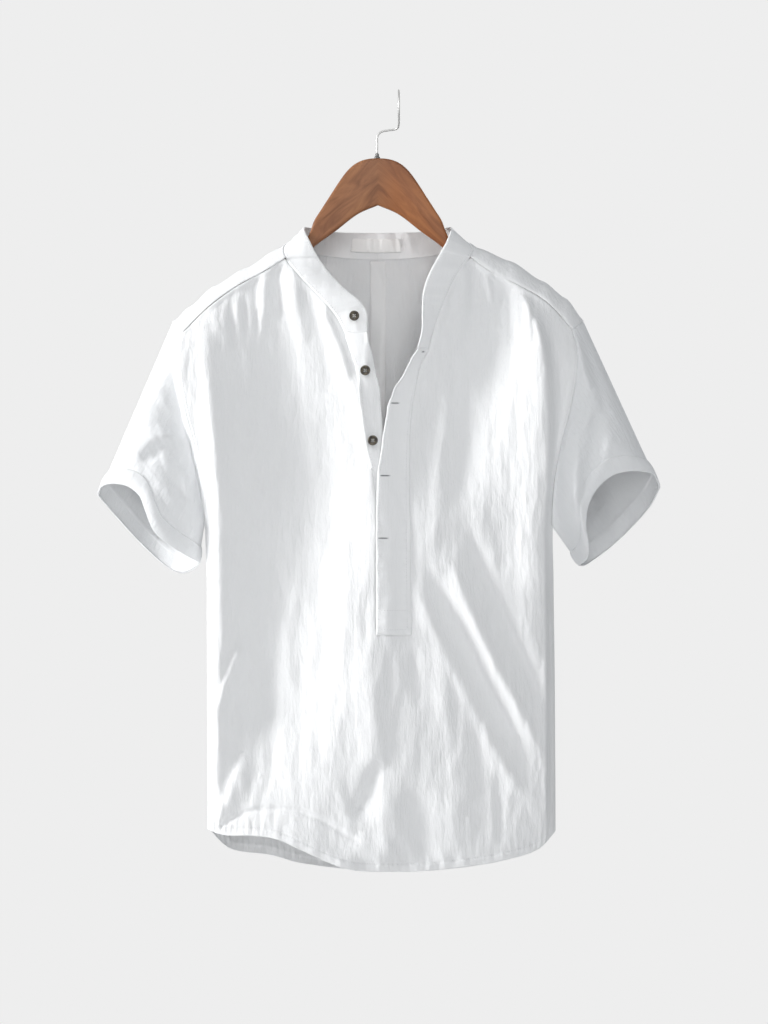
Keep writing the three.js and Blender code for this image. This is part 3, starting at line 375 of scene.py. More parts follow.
def through(rows):
    """A smooth curve through rows of numbers, by row number."""
    points = np.array(rows, float)
    knots = lengths_along(points)
    last = len(points) - 1
    before = np.maximum(np.arange(last + 1) - 1, 0)
    after = np.minimum(np.arange(last + 1) + 1, last)
    slopes = (points[after] - points[before]) / (knots[after] - knots[before])[:, None]

    def at(position):
        position = np.asarray(position, float)
        i = np.clip(np.floor(position).astype(int), 0, last - 1)
        f = np.clip(position - i, 0, 1)[..., None]
        span = (knots[i + 1] - knots[i])[..., None]
        placed = (1 + 2 * f) * (1 - f) ** 2 * points[i] + f * f * (3 - 2 * f) * points[i + 1]
        return placed + span * (f * (1 - f) ** 2 * slopes[i] + f * f * (f - 1) * slopes[i + 1])

    return at


def look_up(rows, value, column):
    """Values of a table's column at values of its first column."""
    table = np.array(rows, float)
    keys = table[:, 0]
    i = np.clip(np.searchsorted(keys, value, side="left") - 1, 0, len(keys) - 2)
    f = np.clip((value - keys[i]) / (keys[i + 1] - keys[i]), 0, 1)
    eased = (f * f * (3 - 2 * f) + f) / 2
    return table[i, column] + (table[i + 1, column] - table[i, column]) * eased


def by_side(rows, across, value, key=0):
    """Look-up in a table that has one column for the left side and one for the right."""
    order = sorted(rows, key=lambda row: row[key])
    left = look_up([(row[key], row[1] if key == 0 else row[0]) for row in order], value, 1)
    order = sorted(rows, key=lambda row: row[key if key == 0 else 2])
    right = look_up([(row[0], row[2]) if key == 0 else (row[2], row[0]) for row in order], value, 1)
    return np.where(across < 0, left, right)


def sampled(rows, count):
    """Evenly numbered points on the smooth curve through rows."""
    return through(rows)(np.linspace(0, len(rows) - 1, count))


def resample(curve, count):
    """Points at even distances along a polyline."""
    curve = np.asarray(curve, float)
    lengths = lengths_along(curve)
    wanted = np.linspace(0, lengths[-1], count + 1)
    return np.stack([np.interp(wanted, lengths, curve[:, k]) for k in range(curve.shape[1])], -1)


def joined(*curves):
    return np.concatenate([curves[0]] + [curve[1:] for curve in curves[1:]])


# Form of the body

def crinkle(across, down, seed):
    """Soft uneven wrinkles, longer down the cloth than across it."""
    total = np.zeros(across.size)
    for (height, waves_across, waves_down), shift in zip(CRINKLES, (0, 7, 13)):
        total += [height * noise.noise(Vector((a * waves_across, d * waves_down, seed + shift)))
                  for a, d in zip(across.ravel(), down.ravel())]
    return total.reshape(across.shape)


def fold_relief(folds, across, down):
    total = np.zeros(across.shape)
    for row in folds:
        curve = resample(sampled(row["path"], 40), FOLD_STEPS)
        reach = 2.6 * max(row["left"], row["right"])
        low = curve.min(0) - reach
        high = curve.max(0) + reach
        near = (across > low[0]) & (across < high[0]) & (down > low[1]) & (down < high[1])
        if not near.any():
            continue
        a, d = across[near], down[near]
        best = np.full(a.shape, np.inf)
        off = np.zeros(a.shape)
        along = np.zeros(a.shape)
        for k in range(FOLD_STEPS):
            start, step = curve[k], curve[k + 1] - curve[k]
            length = np.linalg.norm(step)
            t = np.clip(((a - start[0]) * step[0] + (d - start[1]) * step[1]) / length ** 2, 0, 1)
            da = a - start[0] - t * step[0]
            dd = d - start[1] - t * step[1]
            distance = np.hypot(da, dd)
            closer = distance < best
            to_right = da * step[1] - dd * step[0] > 0
            best = np.where(closer, distance, best)
            off = np.where(closer, distance / np.where(to_right, row["right"], row["left"]), off)
            along = np.where(closer, (k + t) / FOLD_STEPS, along)
        ends = smooth_step(-0.05, 0.22, along) * smooth_step(-0.05, 0.22, 1 - along)
        width = 0.75 + 0.25 * np.sin(along * math.pi)
        total[near] += row["height"] * ends * np.exp(-(off / width) ** 2)
    return total


def hem_flare(across, down):
    """The front hem's turned edge stands forward where the hem arches, below a crease."""
    crease = np.array([from_photo(*place) for place in FLARE_CREASE])
    line = np.interp(across, crease[:, 0], crease[:, 1])
    first, last = crease[0, 0], crease[-1, 0]
    left_end = smooth_step(first, first + FLARE_FADE_LEFT, across)
    right_end = smooth_step(-last, -last + FLARE_FADE_RIGHT, -across)
    below = np.clip((down - line) / FLARE_REACH, 0, 1)
    dent = np.exp(-((down - line) / FLARE_DENT_WIDTH) ** 2)
    return left_end * right_end * (FLARE * below ** 1.4 - FLARE_DENT * dent)


def hem_band(hem, across, down):
    """A hem is double cloth with puckers along its line of stitches."""
    edge = np.interp(across, hem[:, 0], hem[:, 1])
    up = edge - down
    inside_band = smooth_step(-1.2, 0, HEM_BAND - up)
    pucker = np.sin(across * 0.85 + 1.7 * np.sin(across * 0.071))
    pucker = pucker * np.exp(-((up - HEM_BAND) / HEM_PUCKER_REACH) ** 2)
    groove = np.exp(-((up - HEM_BAND) / HEM_GROOVE_WIDTH) ** 2)
    return HEM_STEP * inside_band + HEM_PUCKER * pucker - HEM_GROOVE * groove


def ridge_down(across):
    return by_side(RIDGE, across, np.abs(across))


def inside(across, down):
    """Distance inside the shoulder seam or the armhole."""
    width = np.abs(across)
    seam = by_side(SHOULDER_SEAM, across, width)
    below = np.where(width < SHOULDER_SEAM[-1][0], 2 * FOLD_FADE, down - seam)
    edge = np.where(down < ARMHOLE_FOOT, by_side(ARMHOLE, across, down, key=1), ARMHOLE_FOOT_ACROSS)
    return np.minimum(below, edge - width)


def place(across, down, depth):
    across, down, depth = np.broadcast_arrays(across, down, depth)
    return np.stack([CENTRE_FROM_HOOK + across, depth, -down], -1).astype(float)


front_hem = sampled(FRONT_HEM, 200)
back_hem = sampled(BACK_HEM, 200)


def body(across, down, behind=False):
    """Places on the outside of the body."""
    across, down = np.broadcast_arrays(np.asarray(across, float), np.asarray(down, float))
    half = look_up(SECTIONS, down, 1)
    centre = look_up(SECTIONS, down, 2)
    depth = look_up(SECTIONS, down, 4 if behind else 3)
    u = np.minimum(np.abs(across - centre) / half, 1)
    drop = np.clip((down - ridge_down(across)) / SHOULDER_ROUND, 0, 1)
    rounded = (1 - (1 - drop) ** 2) ** 0.45 * (1 - u * u) ** (SIDE_ROUND_BACK if behind else SIDE_ROUND)
    relief = fold_relief(BACK_FOLDS if behind else FRONT_FOLDS, across, down)
    relief += BODY_CRINKLE * crinkle(across, down, 3.0 if behind else 11.0)
    relief += hem_band(back_hem if behind else front_hem, across, down)
    if not behind:
        relief += hem_flare(across, down)
    near_edge = smooth_step(0, 12, half - np.abs(across - centre))
    out = depth * rounded + relief * smooth_step(0, FOLD_FADE, inside(across, down)) * near_edge
    return place(across, down, out if behind else -out)


# Shells

def sheet_from(grid, closed=False, hole=None):
    """Points and four-cornered faces of a grid."""
    rows, columns = grid.shape[:2]
    index = np.arange(rows * columns).reshape(rows, columns)
    left = index if closed else index[:, :-1]
    right = np.roll(index, -1, 1) if closed else index[:, 1:]
    quads = np.stack([left[:-1], left[1:], right[1:], right[:-1]], -1)
    if hole is not None:
        quads = quads[~hole]
    return grid.reshape(-1, 3), quads.reshape(-1, 4)


def ring_faces(rings, around):
    """Four-cornered faces between rings that each have the same number of points."""
    faces = []
    for ring in range(rings - 1):
        low, high = ring * around, (ring + 1) * around
        for k in range(around):
            n = (k + 1) % around
            faces.append([low + k, low + n, high + n, high + k])
    return faces


def welded(sheets):
    """Several sheets as one, joined where their points meet."""
    points = np.concatenate([sheet[0] for sheet in sheets])
    offsets = np.cumsum([0] + [len(sheet[0]) for sheet in sheets[:-1]])
    quads = np.concatenate([sheet[1] + offset for sheet, offset in zip(sheets, offsets)])
    _, first, same = np.unique(np.round(points, 4), axis=0, return_index=True, return_inverse=True)
    return points[first], same.ravel()[quads]


def sheet_normals(points, quads):
    corners = points[quads]
    facing = np.cross(corners[:, 2] - corners[:, 0], corners[:, 3] - corners[:, 1])
    normals = np.zeros(points.shape)
    for k in range(4):
        np.add.at(normals, quads[:, k], facing)
    return unit(normals)


def mesh_object(name, points, faces, material):
    mesh = bpy.data.meshes.new(name)
    mesh.from_pydata((np.asarray(points) * METRE).tolist(), [], faces)
    mesh.validate()
    mesh.polygons.foreach_set("use_smooth", [True] * len(mesh.polygons))
    mesh.materials.append(material)
    thing = bpy.data.objects.new(name, mesh)
    bpy.context.scene.collection.objects.link(thing)
    return thing


def seam_dip(at_shoulder):
    """How far a panel's border sinks at its seams, given that at the shoulder seam."""
    def dip(points):
        across = points[:, 0] - CENTRE_FROM_HOOK
        down = -points[:, 2]
        shoulder = (down < COLLAR_FOOT) & (np.abs(across) > NECK_REACH)
        placket = (down > COLLAR_FOOT) & (np.abs(across) < SLIT_REACH)
        return np.where(shoulder, at_shoulder, np.where(placket, PLACKET_DIP, SEAM_DIP))

    return dip


def shell(name, sheet, outward, thickness, material, dip=0):
    """A closed thin wall: the outside, the inside, and a rounded edge between them."""
    points, quads = sheet
    used, flat = np.unique(quads, return_inverse=True)
    points = points[used].copy()
    quads = flat.reshape(-1, 4)
    normals = sheet_normals(points, quads)
    if (normals * outward(points)).sum() < 0:
        quads = quads[:, ::-1]
        normals = -normals
    starts = quads.ravel()
    ends = np.roll(quads, -1, 1).ravel()
    count = len(points)
    border = ~np.isin(starts * count + ends, ends * count + starts)
    starts, ends = starts[border], ends[border]
    pull = np.zeros(points.shape)
    steps = points[ends] - points[starts]
    np.add.at(pull, starts, np.cross(steps, normals[starts]))
    np.add.at(pull, ends, np.cross(steps, normals[ends]))
    pull = unit(pull)
    edge = np.unique(starts)
    sunk = dip(points[edge])[:, None] if callable(dip) else dip
    points[edge] -= normals[edge] * sunk
    middle = points[edge] - normals[edge] * thickness / 2 + pull[edge] * thickness * 0.3
    inner = points - normals * thickness
    rank = np.full(count, -1)
    rank[edge] = np.arange(len(edge)) + 2 * count
    faces = np.concatenate([
        quads,
        quads[:, ::-1] + count,
        np.stack([ends, starts, rank[starts], rank[ends]], -1),
        np.stack([rank[ends], rank[starts], starts + count, ends + count], -1),
    ])
    return mesh_object(name, np.concatenate([points, inner, middle]), faces.tolist(), material)


def patch(left, right, top, bottom, across_steps, down_steps):
    """Places of a grid between four borders, [down, across, 2]."""
    s = np.asarray(across_steps)[None, :, None]
    t = np.asarray(down_steps)[:, None, None]
    blend = (1 - s) * left[:, None] + s * right[:, None] + (1 - t) * top[None] + t * bottom[None]
    top_corners = (1 - s) * (1 - t) * left[0] + s * (1 - t) * right[0]
    return blend - (top_corners + (1 - s) * t * left[-1] + s * t * right[-1])


def crowded(count, crowding=0.85):
    """Steps from 0 to 1 that are closer near 0."""
    f = np.linspace(0, 1, count + 1)
    return f * (1 - crowding) + crowding * (1 - np.cos(f * math.pi / 2))


def towards_viewer(points):
    return np.broadcast_to([0.0, -1.0, 0.0], points.shape)


def away_from_viewer(points):
    return np.broadcast_to([0.0, 1.0, 0.0], points.shape)


def sign_of(side):
    return -1 if side == "left" else 1


def side_rows(rows, side):
    return [(sign_of(side) * row[0], row[1 if side == "left" else 2]) for row in rows]


collar_seam = through([row[:2] for row in COLLAR])
collar_top = through([row[2:4] for row in COLLAR])


def slit_across(side, down):
    curve = sampled(SLITS[side], 400)
    return np.interp(down, curve[:, 1], curve[:, 0])


def shoulder_places(side, count):
    return resample(sampled(side_rows(SHOULDER_SEAM, side), 80), count)


def ridge_end(side):
    across = sign_of(side) * RIDGE_END
    return (across, float(ridge_down(np.array(float(across)))))


def armhole_front(side, count):
    return sampled(side_rows(ARMHOLE, side), count + 1)


def armhole_behind(side, positions):
    return through([ridge_end(side)] + side_rows(ARMHOLE[1:], side))(positions * (len(ARMHOLE) - 1))


def armhole_wrap(side, shares):
    start = np.array(side_rows(ARMHOLE[:1], side)[0], float)
    return start + (np.array(ridge_end(side)) - start) * np.asarray(shares)[:, None]


def side_seam(side, down):
    half = look_up(SECTIONS, down, 1)
    centre = look_up(SECTIONS, down, 2)
    return np.stack([centre + sign_of(side) * half, down], -1)


# Front

def front_sheet(columns=72, middle=12, armhole_rows=96, seam_rows=60, low_rows=104):
    hem = through(FRONT_HEM)
    hem_last = len(FRONT_HEM) - 1
    # Places on the hem straight below the two edges of the slit
    hem_slit = (6.35, 6.98)
    up_rows = armhole_rows + seam_rows
    steps = crowded(columns)
    low_steps = 1 - crowded(low_rows, 0.7)[::-1]
    grids = {}
    for side, k in (("left", 0), ("right", 1)):
        hem_end = 0 if side == "left" else hem_last
        bottom_at = hem_end + (hem_slit[k] - hem_end) * steps
        seam_below_arm = side_seam(side, np.linspace(ARMHOLE_FOOT, SLIT_BOTTOM, seam_rows + 1))
        outer = joined(armhole_front(side, armhole_rows), seam_below_arm)
        collar_end = 0 if side == "left" else len(COLLAR) - 1
        neck = collar_seam(np.linspace(COLLAR_SHOULDER[k], collar_end, 80))
        slit = sampled(SLITS[side], 160)
        inner = resample(joined(neck, slit), up_rows)
        level = outer[-1] + (inner[-1] - outer[-1]) * steps[:, None]
        upper = patch(outer, inner, shoulder_places(side, columns), level,
                      steps, np.linspace(0, 1, up_rows + 1))
        below = inner[-1] + (hem(hem_slit[k]) - inner[-1]) * low_steps[:, None]
        seam_down = SLIT_BOTTOM + (front_hem[0 if side == "left" else -1, 1] - SLIT_BOTTOM) * low_steps
        lower = patch(side_seam(side, seam_down), below, level, hem(bottom_at), steps, low_steps)
        grids[side] = np.concatenate([upper, lower[1:]])
    left, right = grids["left"], grids["right"][:, ::-1]
    share = np.linspace(0, 1, middle + 1)[1:-1, None]
    between = left[:, -1:] + (right[:, :1] - left[:, -1:]) * share[None]
    whole = np.concatenate([left, between, right], 1)
    grid = body(whole[..., 0], whole[..., 1])
    hole = np.zeros((grid.shape[0] - 1, grid.shape[1] - 1), bool)
    hole[:up_rows, columns:columns + middle] = True
    return sheet_from(grid, hole=hole)


# Back, which comes forward over the shoulders to their seam

def back_sheet(shoulder_columns=52, neck_columns=34, armhole_rows=84, low_rows=130, wrap_rows=12):
    hem = through(BACK_HEM)
    hem_last = len(BACK_HEM) - 1
    # The share of the height above the foot of the armhole, and the hem's place below the neck
    armhole_share = 0.39
    hem_middle = 4.45
    columns = shoulder_columns + neck_columns
    down_steps = np.concatenate([
        armhole_share * np.linspace(0, 1, armhole_rows + 1) ** 2,
        armhole_share + (1 - armhole_share) * (1 - crowded(low_rows, 0.6)[::-1])[1:],
    ])
    wrap_shares = 1 - (1 - np.linspace(0, 1, wrap_rows + 1)) ** 2
    sheets = []
    lows = []
    for side, k in (("left", 0), ("right", 1)):
        share = np.linspace(0, 1, shoulder_columns + 1)
        neck_ridge = abs(COLLAR[COLLAR_RIDGE[0]][0])
        ridge_across = sign_of(side) * (RIDGE_END + (neck_ridge - RIDGE_END) * share)
        ridge = np.stack([ridge_across, ridge_down(ridge_across)], -1)
        neck = collar_seam(np.linspace(COLLAR_RIDGE[k], COLLAR_BACK, neck_columns + 1))
        top = joined(ridge, neck)
        steps = crowded(columns)
        bottom = hem(steps * hem_middle if side == "left" else hem_last - steps * (hem_last - hem_middle))
        behind = armhole_behind(side, np.linspace(0, 1, armhole_rows + 1) ** 2)
        seam_down = ARMHOLE_FOOT + (back_hem[0 if side == "left" else -1, 1] - ARMHOLE_FOOT) * (
            down_steps[armhole_rows:] - armhole_share) / (1 - armhole_share)
        outer = joined(behind, side_seam(side, seam_down))
        inner = top[-1] + (bottom[-1] - top[-1]) * down_steps[:, None]
        low = patch(outer, inner, top, bottom, steps, down_steps)
        lows.append(low)
        seam = shoulder_places(side, shoulder_columns)
        collar_rows = COLLAR_SHOULDER[k] + (COLLAR_RIDGE[k] - COLLAR_SHOULDER[k]) * wrap_shares
        collar_part = collar_seam(collar_rows)
        f = wrap_shares[:, None, None]
        plain = seam[None] * (1 - f) + ridge[None] * f
        drift = collar_part[:, None] - plain[:, -1:]
        wrap = plain + drift * share[None, :, None] ** 3
        sheets.append(sheet_from(body(wrap[..., 0], wrap[..., 1])))
    whole = np.concatenate([lows[0], lows[1][:, ::-1][:, 1:]], 1)
    sheets.append(sheet_from(body(whole[..., 0], whole[..., 1], True)))
    return welded(sheets)


# Sleeves

def sleeve_strands(side):
    """Where each strand of a sleeve starts on the armhole and ends on the rim, and its side."""
    wrap = armhole_wrap(side, 1 - (1 - np.linspace(0, 1, 11)) ** 2)[1:][::-1]
    front = armhole_front(side, 56)
    behind = armhole_behind(side, np.linspace(0, 1, 70) ** 2)
    arcs = []
    for places, is_behind, rim in (
        (np.concatenate([wrap, front]), False, CUFF_FRONT[side]),
        (behind, True, CUFF_BACK[side]),
    ):
        starts = body(places[:, 0], places[:, 1], is_behind)
        lengths = lengths_along(starts)
        share = lengths / lengths[-1]
        rim_places = through(rim)(share * (len(rim) - 1))
        ends = place(rim_places[:, 0], rim_places[:, 1], rim_places[:, 2])
        arcs.append((starts, ends, share, np.full(len(share), 1.0 if is_behind else -1.0)))
    front_arc, back_arc = arcs
    return tuple(np.concatenate([a, b[1:-1][::-1]]) for a, b in zip(front_arc, back_arc))


def sleeve_points(side, shares, raised=0):
    """Points of a sleeve, [share along, strand, 3], for one row of shares or a row for each strand."""
    starts, ends, around, facing = sleeve_strands(side)
    s = shares[..., None] if shares.ndim == 2 else shares[:, None, None]
    points = starts[None] * (1 - s) + ends[None] * s
    along = s[..., 0]
    swell = np.sin(along * math.pi) * np.sin(around * math.pi)[None]
    across = points[..., 0] - CENTRE_FROM_HOOK
    down = -points[..., 2]
    relief = np.where(
        facing[None] < 0,
        fold_relief(SLEEVE_FOLDS[side], across, down),
        fold_relief(SLEEVE_FOLDS[side + "_back"], across, down),
    )
    turned = across * 0.82 + sign_of(side) * down * 0.57
    relief = relief + crinkle(turned, down * 0.82 - sign_of(side) * across * 0.57, 23.0 + sign_of(side))
    tips = np.sin(around * math.pi)[None] ** 0.6
    hold = smooth_step(0, 0.1, along) * (1 - 0.7 * smooth_step(0.8, 1, along))
    points[..., 1] += facing[None] * (SLEEVE_SWELL * swell + relief * tips * hold)
    middle = points.mean(1, keepdims=True)
    away = (points - middle) / np.linalg.norm(points - middle, axis=-1, keepdims=True)
    points += np.asarray(raised, float) * away
    return points


def cuff_shares(side):
    starts, ends, _, _ = sleeve_strands(side)
    return 1 - CUFF_HEIGHT / np.linalg.norm(ends - starts, axis=1)


def sleeve(side, material):
    starts, ends, _, _ = sleeve_strands(side)
    middle = (starts.mean(0) + ends.mean(0)) / 2

    def outward(points):
        return points - middle

    cuff_start = cuff_shares(side)[None]
    steps = np.linspace(0, 1, 62)[:, None]
    under_cuff = 0.006
    tube = sheet_from(sleeve_points(side, steps * (cuff_start + under_cuff)), closed=True)
    arm = shell(f"sleeve_{side}_cloth", tube, outward, CLOTH, material, SEAM_DIP)
    band_steps = np.concatenate([[0, 0.03], np.linspace(0.1, 0.95, 12), [0.985, 1]])[:, None]
    roll = 0.9 + 1.7 * np.sin(band_steps * math.pi) ** 0.7
    band = sleeve_points(side, cuff_start + (1 - cuff_start) * band_steps, raised=roll[..., None])
    cuff = shell(f"cuff_{side}_cloth", sheet_from(band, closed=True), outward, CUFF_CLOTH, material, CUFF_DIP)
    return arm, cuff


# Collar, plackets, strip and label

def collar_points(position, share):
    position, share = np.broadcast_arrays(np.asarray(position, float), np.asarray(share, float))
    seam_place = collar_seam(position)
    behind = (position >= COLLAR_RIDGE[0]) & (position <= COLLAR_RIDGE[1])
    seam = np.where(behind[..., None],
                    body(seam_place[..., 0], seam_place[..., 1], True),
                    body(seam_place[..., 0], seam_place[..., 1]))
    top_place = collar_top(position)
    lean = np.interp(position, np.arange(len(COLLAR)), [row[4] for row in COLLAR])
    top = place(top_place[..., 0], top_place[..., 1], seam[..., 1] + lean)
    points = seam + (top - seam) * share[..., None]
    bulge = np.sin(share * math.pi) * (1.1 + 0.5 * np.sin(position * 2.3))
    wrinkle = COLLAR_CRINKLE * crinkle(points[..., 0] - CENTRE_FROM_HOOK, -points[..., 2], 41.0)
    wrinkle = wrinkle * smooth_step(0, 0.2, share) * smooth_step(0, 0.12, 1 - share)
    points[..., 1] += np.where(behind, 1, -1) * (bulge + wrinkle)
    return points


def from_neck(points):
    return np.stack([points[:, 0] - CENTRE_FROM_HOOK, points[:, 1] + 5, np.zeros(len(points))], -1)


def placket_points(side, down, share):
    table = PLACKETS[side]
    seam = slit_across(side, down)
    free = look_up(table, down, 1)
    seam_sink = look_up(table, down, 2)
    free_sink = look_up(table, down, 3)
    points = body(seam + (free - seam) * share, down)
    points[..., 1] += seam_sink + (free_sink - seam_sink) * share - PLACKET_LAP / 2
    return points


def placket_sheet(side, rows=150):
    table = PLACKETS[side]
    shares = np.array([-0.05, 0.02, 0.06, 0.1, 0.18, 0.28, 0.4, 0.52, 0.64, 0.75, 0.84, 0.9, 0.95, 1])
    down = np.linspace(table[0][0], table[-1][0] + PLACKET_LAP, rows + 1)
    shares, down = np.broadcast_arrays(shares[None], down[:, None])
    points = placket_points(side, down, shares)
    edge = smooth_step(0.06, 0.14, shares) * smooth_step(0.06, 0.14, 1 - shares)
    pucker = np.sin(down * 0.8 + 2 * np.sin(down * 0.09)) * np.exp(-((shares - 0.08) / 0.09) ** 2)
    tug = 1 + np.sin(down * 0.55 + 2.5 * np.sin(down * 0.06))
    tug = tug * np.exp(-((1 - shares) / 0.3) ** 2) * smooth_step(0, 60, down - 470)
    points[..., 1] -= 0.2 * (1 - edge) + 0.4 * pucker + 0.5 * tug
    return sheet_from(points)


def strip_sheet():
    down = np.linspace(STRIP_TOP, STRIP_BOTTOM, 220)
    across = np.linspace(-STRIP_WIDTH / 2, STRIP_WIDTH / 2, 9)
    points = body(across[None], down[:, None], True)
    edge = np.abs(across[None]) > STRIP_WIDTH * 0.4
    ripple = 0.4 * np.sin(down[:, None] * 1.1 + 2 * np.sin(down[:, None] * 0.13)) * edge
    points[..., 1] -= CLOTH + 1.2 + ripple
    return sheet_from(points)


def label_sheet():
    position = np.linspace(COLLAR_BACK - 0.54, COLLAR_BACK + 0.46, 40)
    share = np.linspace(0.27, 0.78, 12)
    points = collar_points(position[None], share[:, None])
    end = np.abs(np.linspace(-1, 1, 40))[None]
    sag = 0.9 * (1 - end ** 4) * np.linspace(0, 1, 12)[:, None] ** 2
    points[..., 1] -= BAND + 1.1 + 0.5 * sag
    return sheet_from(points)


# Stitches

def stitches(name, runs, material, lift=0.1):
    """Small grains of thread along runs of points, [(points, normals)], pitched evenly."""
    vertices = []
    faces = []
    for points, normals in runs:
        lengths = lengths_along(points)
        centres = np.arange(STITCH_PITCH / 2, lengths[-1], STITCH_PITCH)
        for centre in centres:
            ends = [[np.interp(centre + way * STITCH_LENGTH / 2, lengths, points[:, k]) for k in range(3)]
                    for way in (-1, 1)]
            normal = np.array([np.interp(centre, lengths, normals[:, k]) for k in range(3)])
            start, end = np.array(ends[0]), np.array(ends[1])
            along = end - start
            aside = np.cross(normal, along)
            aside *= THREAD_RADIUS / max(np.linalg.norm(aside), TINY)
            middle = (start + end) / 2 + normal * lift
            first = len(vertices)
            vertices += [start, end, middle + aside, middle + normal * THREAD_RADIUS, middle - aside,
                         middle - normal * THREAD_SEAT]
            faces += [[first, first + 2 + k, first + 2 + (k + 1) % 4] for k in range(4)]
            faces += [[first + 1, first + 2 + (k + 1) % 4, first + 2 + k] for k in range(4)]
    return mesh_object(name, vertices, faces, material)


def run_on_body(places, behind=False):
    """Points and outward normals along places on the body."""
    across, down = np.asarray(places, float).T
    points = body(across, down, behind)
    aside = body(across + 0.8, down, behind) - body(across - 0.8, down, behind)
    along = body(across, down + 0.8, behind) - body(across, down - 0.8, behind)
    normals = np.cross(aside, along)
    normals *= np.where(normals[:, 1] * (1 if behind else -1) < 0, -1, 1)[:, None]
    return points, unit(normals)


# Materials

def node_material(name, roughness=0.5):
    material = bpy.data.materials.new(name)
    material.use_nodes = True
    tree = material.node_tree
    shader = tree.nodes["Principled BSDF"]
    shader.inputs["Roughness"].default_value = roughness
    return material, tree, shader


def add(tree, kind, **values):
    node = tree.nodes.new(kind)
    for key, value in values.items():
        if key.startswith("in_"):
            node.inputs[key[3:].replace("_", " ")].default_value = value
        else:
            setattr(node, key, value)
    return node


def object_space(tree, **values):
    """Coordinates that stay with the object, scaled, turned or shifted."""
    where = add(tree, "ShaderNodeTexCoord")
    mapping = add(tree, "ShaderNodeMapping", **values)
    tree.links.new(where.outputs["Object"], mapping.inputs["Vector"])
    return mapping.outputs["Vector"]


def tinted(tree, shader, share, dark, light):
    """The shader's colour, between two by a share."""
    tint = add(tree, "ShaderNodeMix", data_type="RGBA")
    tint.inputs[6].default_value = (*dark, 1)
    tint.inputs[7].default_value = (*light, 1)
    tree.links.new(share, tint.inputs[0])
    tree.links.new(tint.outputs[2], shader.inputs["Base Color"])


def ramp_between(tree, share, start, dark, end, light):
    """A colour ramp from dark at one share to light at another."""
    ramp = add(tree, "ShaderNodeValToRGB")
    for element, position, colour in zip(ramp.color_ramp.elements, (start, end), (dark, light)):
        element.position = position
        element.color = (*colour, 1)
    tree.links.new(share, ramp.inputs["Fac"])
    return ramp.outputs["Color"]


def linen(name, colour, turn=0.0, crinkled=1.0):
    """White linen and cotton: a fine weave, slubs and a crinkle that runs down the cloth."""
    material, tree, shader = node_material(name, roughness=0.86)
    link = tree.links.new
    shader.inputs["Sheen Weight"].default_value = 0.25
    shader.inputs["Sheen Roughness"].default_value = 0.5
    shader.inputs["Specular IOR Level"].default_value = 0.25
    turned = object_space(tree, in_Rotation=(0, turn, 0))

    def streaks(scale, detail, seed):
        mapping = add(tree, "ShaderNodeMapping", in_Scale=scale, in_Location=(seed, seed, seed))
        link(turned, mapping.inputs["Vector"])
        texture = add(tree, "ShaderNodeTexNoise", in_Scale=1.0, in_Detail=detail, in_Roughness=0.55)
        link(mapping.outputs["Vector"], texture.inputs["Vector"])
        return texture.outputs["Fac"]

    def threads(direction, scale):
        texture = add(tree, "ShaderNodeTexWave", wave_type="BANDS", bands_direction=direction,
                      in_Scale=scale, in_Distortion=1.2, in_Detail=1.0)
        link(turned, texture.inputs["Vector"])
        return texture.outputs["Fac"]

    def mixed(first, second, share):
        node = add(tree, "ShaderNodeMix", data_type="FLOAT")
        node.inputs[0].default_value = share
        link(first, node.inputs[2])
        link(second, node.inputs[3])
        return node.outputs[0]

    coarse = streaks((100, 100, 21), 3.0, 3.1)
    fine = streaks((290, 290, 70), 3.0, 8.7)
    slub = streaks((620, 620, 60), 2.0, 1.3)
    weave = mixed(threads("X", 480), threads("Z", 480), 0.5)
    crinkle_height = mixed(coarse, fine, 0.42)
    small = mixed(slub, weave, 0.4)
    bump_large = add(tree, "ShaderNodeBump", in_Strength=0.9 * crinkled, in_Distance=0.0022)
    link(crinkle_height, bump_large.inputs["Height"])
    bump_small = add(tree, "ShaderNodeBump", in_Strength=0.4, in_Distance=0.0004)
    link(small, bump_small.inputs["Height"])
    link(bump_large.outputs["Normal"], bump_small.inputs["Normal"])
    link(bump_small.outputs["Normal"], shader.inputs["Normal"])
    # The colour is a little darker where the fine crinkle and the slubs sink, the hollows of the bump:
    # painted shade in the crinkles, with the slubs' own uneven tone
    tinted(tree, shader, mixed(fine, slub, 0.5), [c * 0.965 for c in colour], colour)
    return material


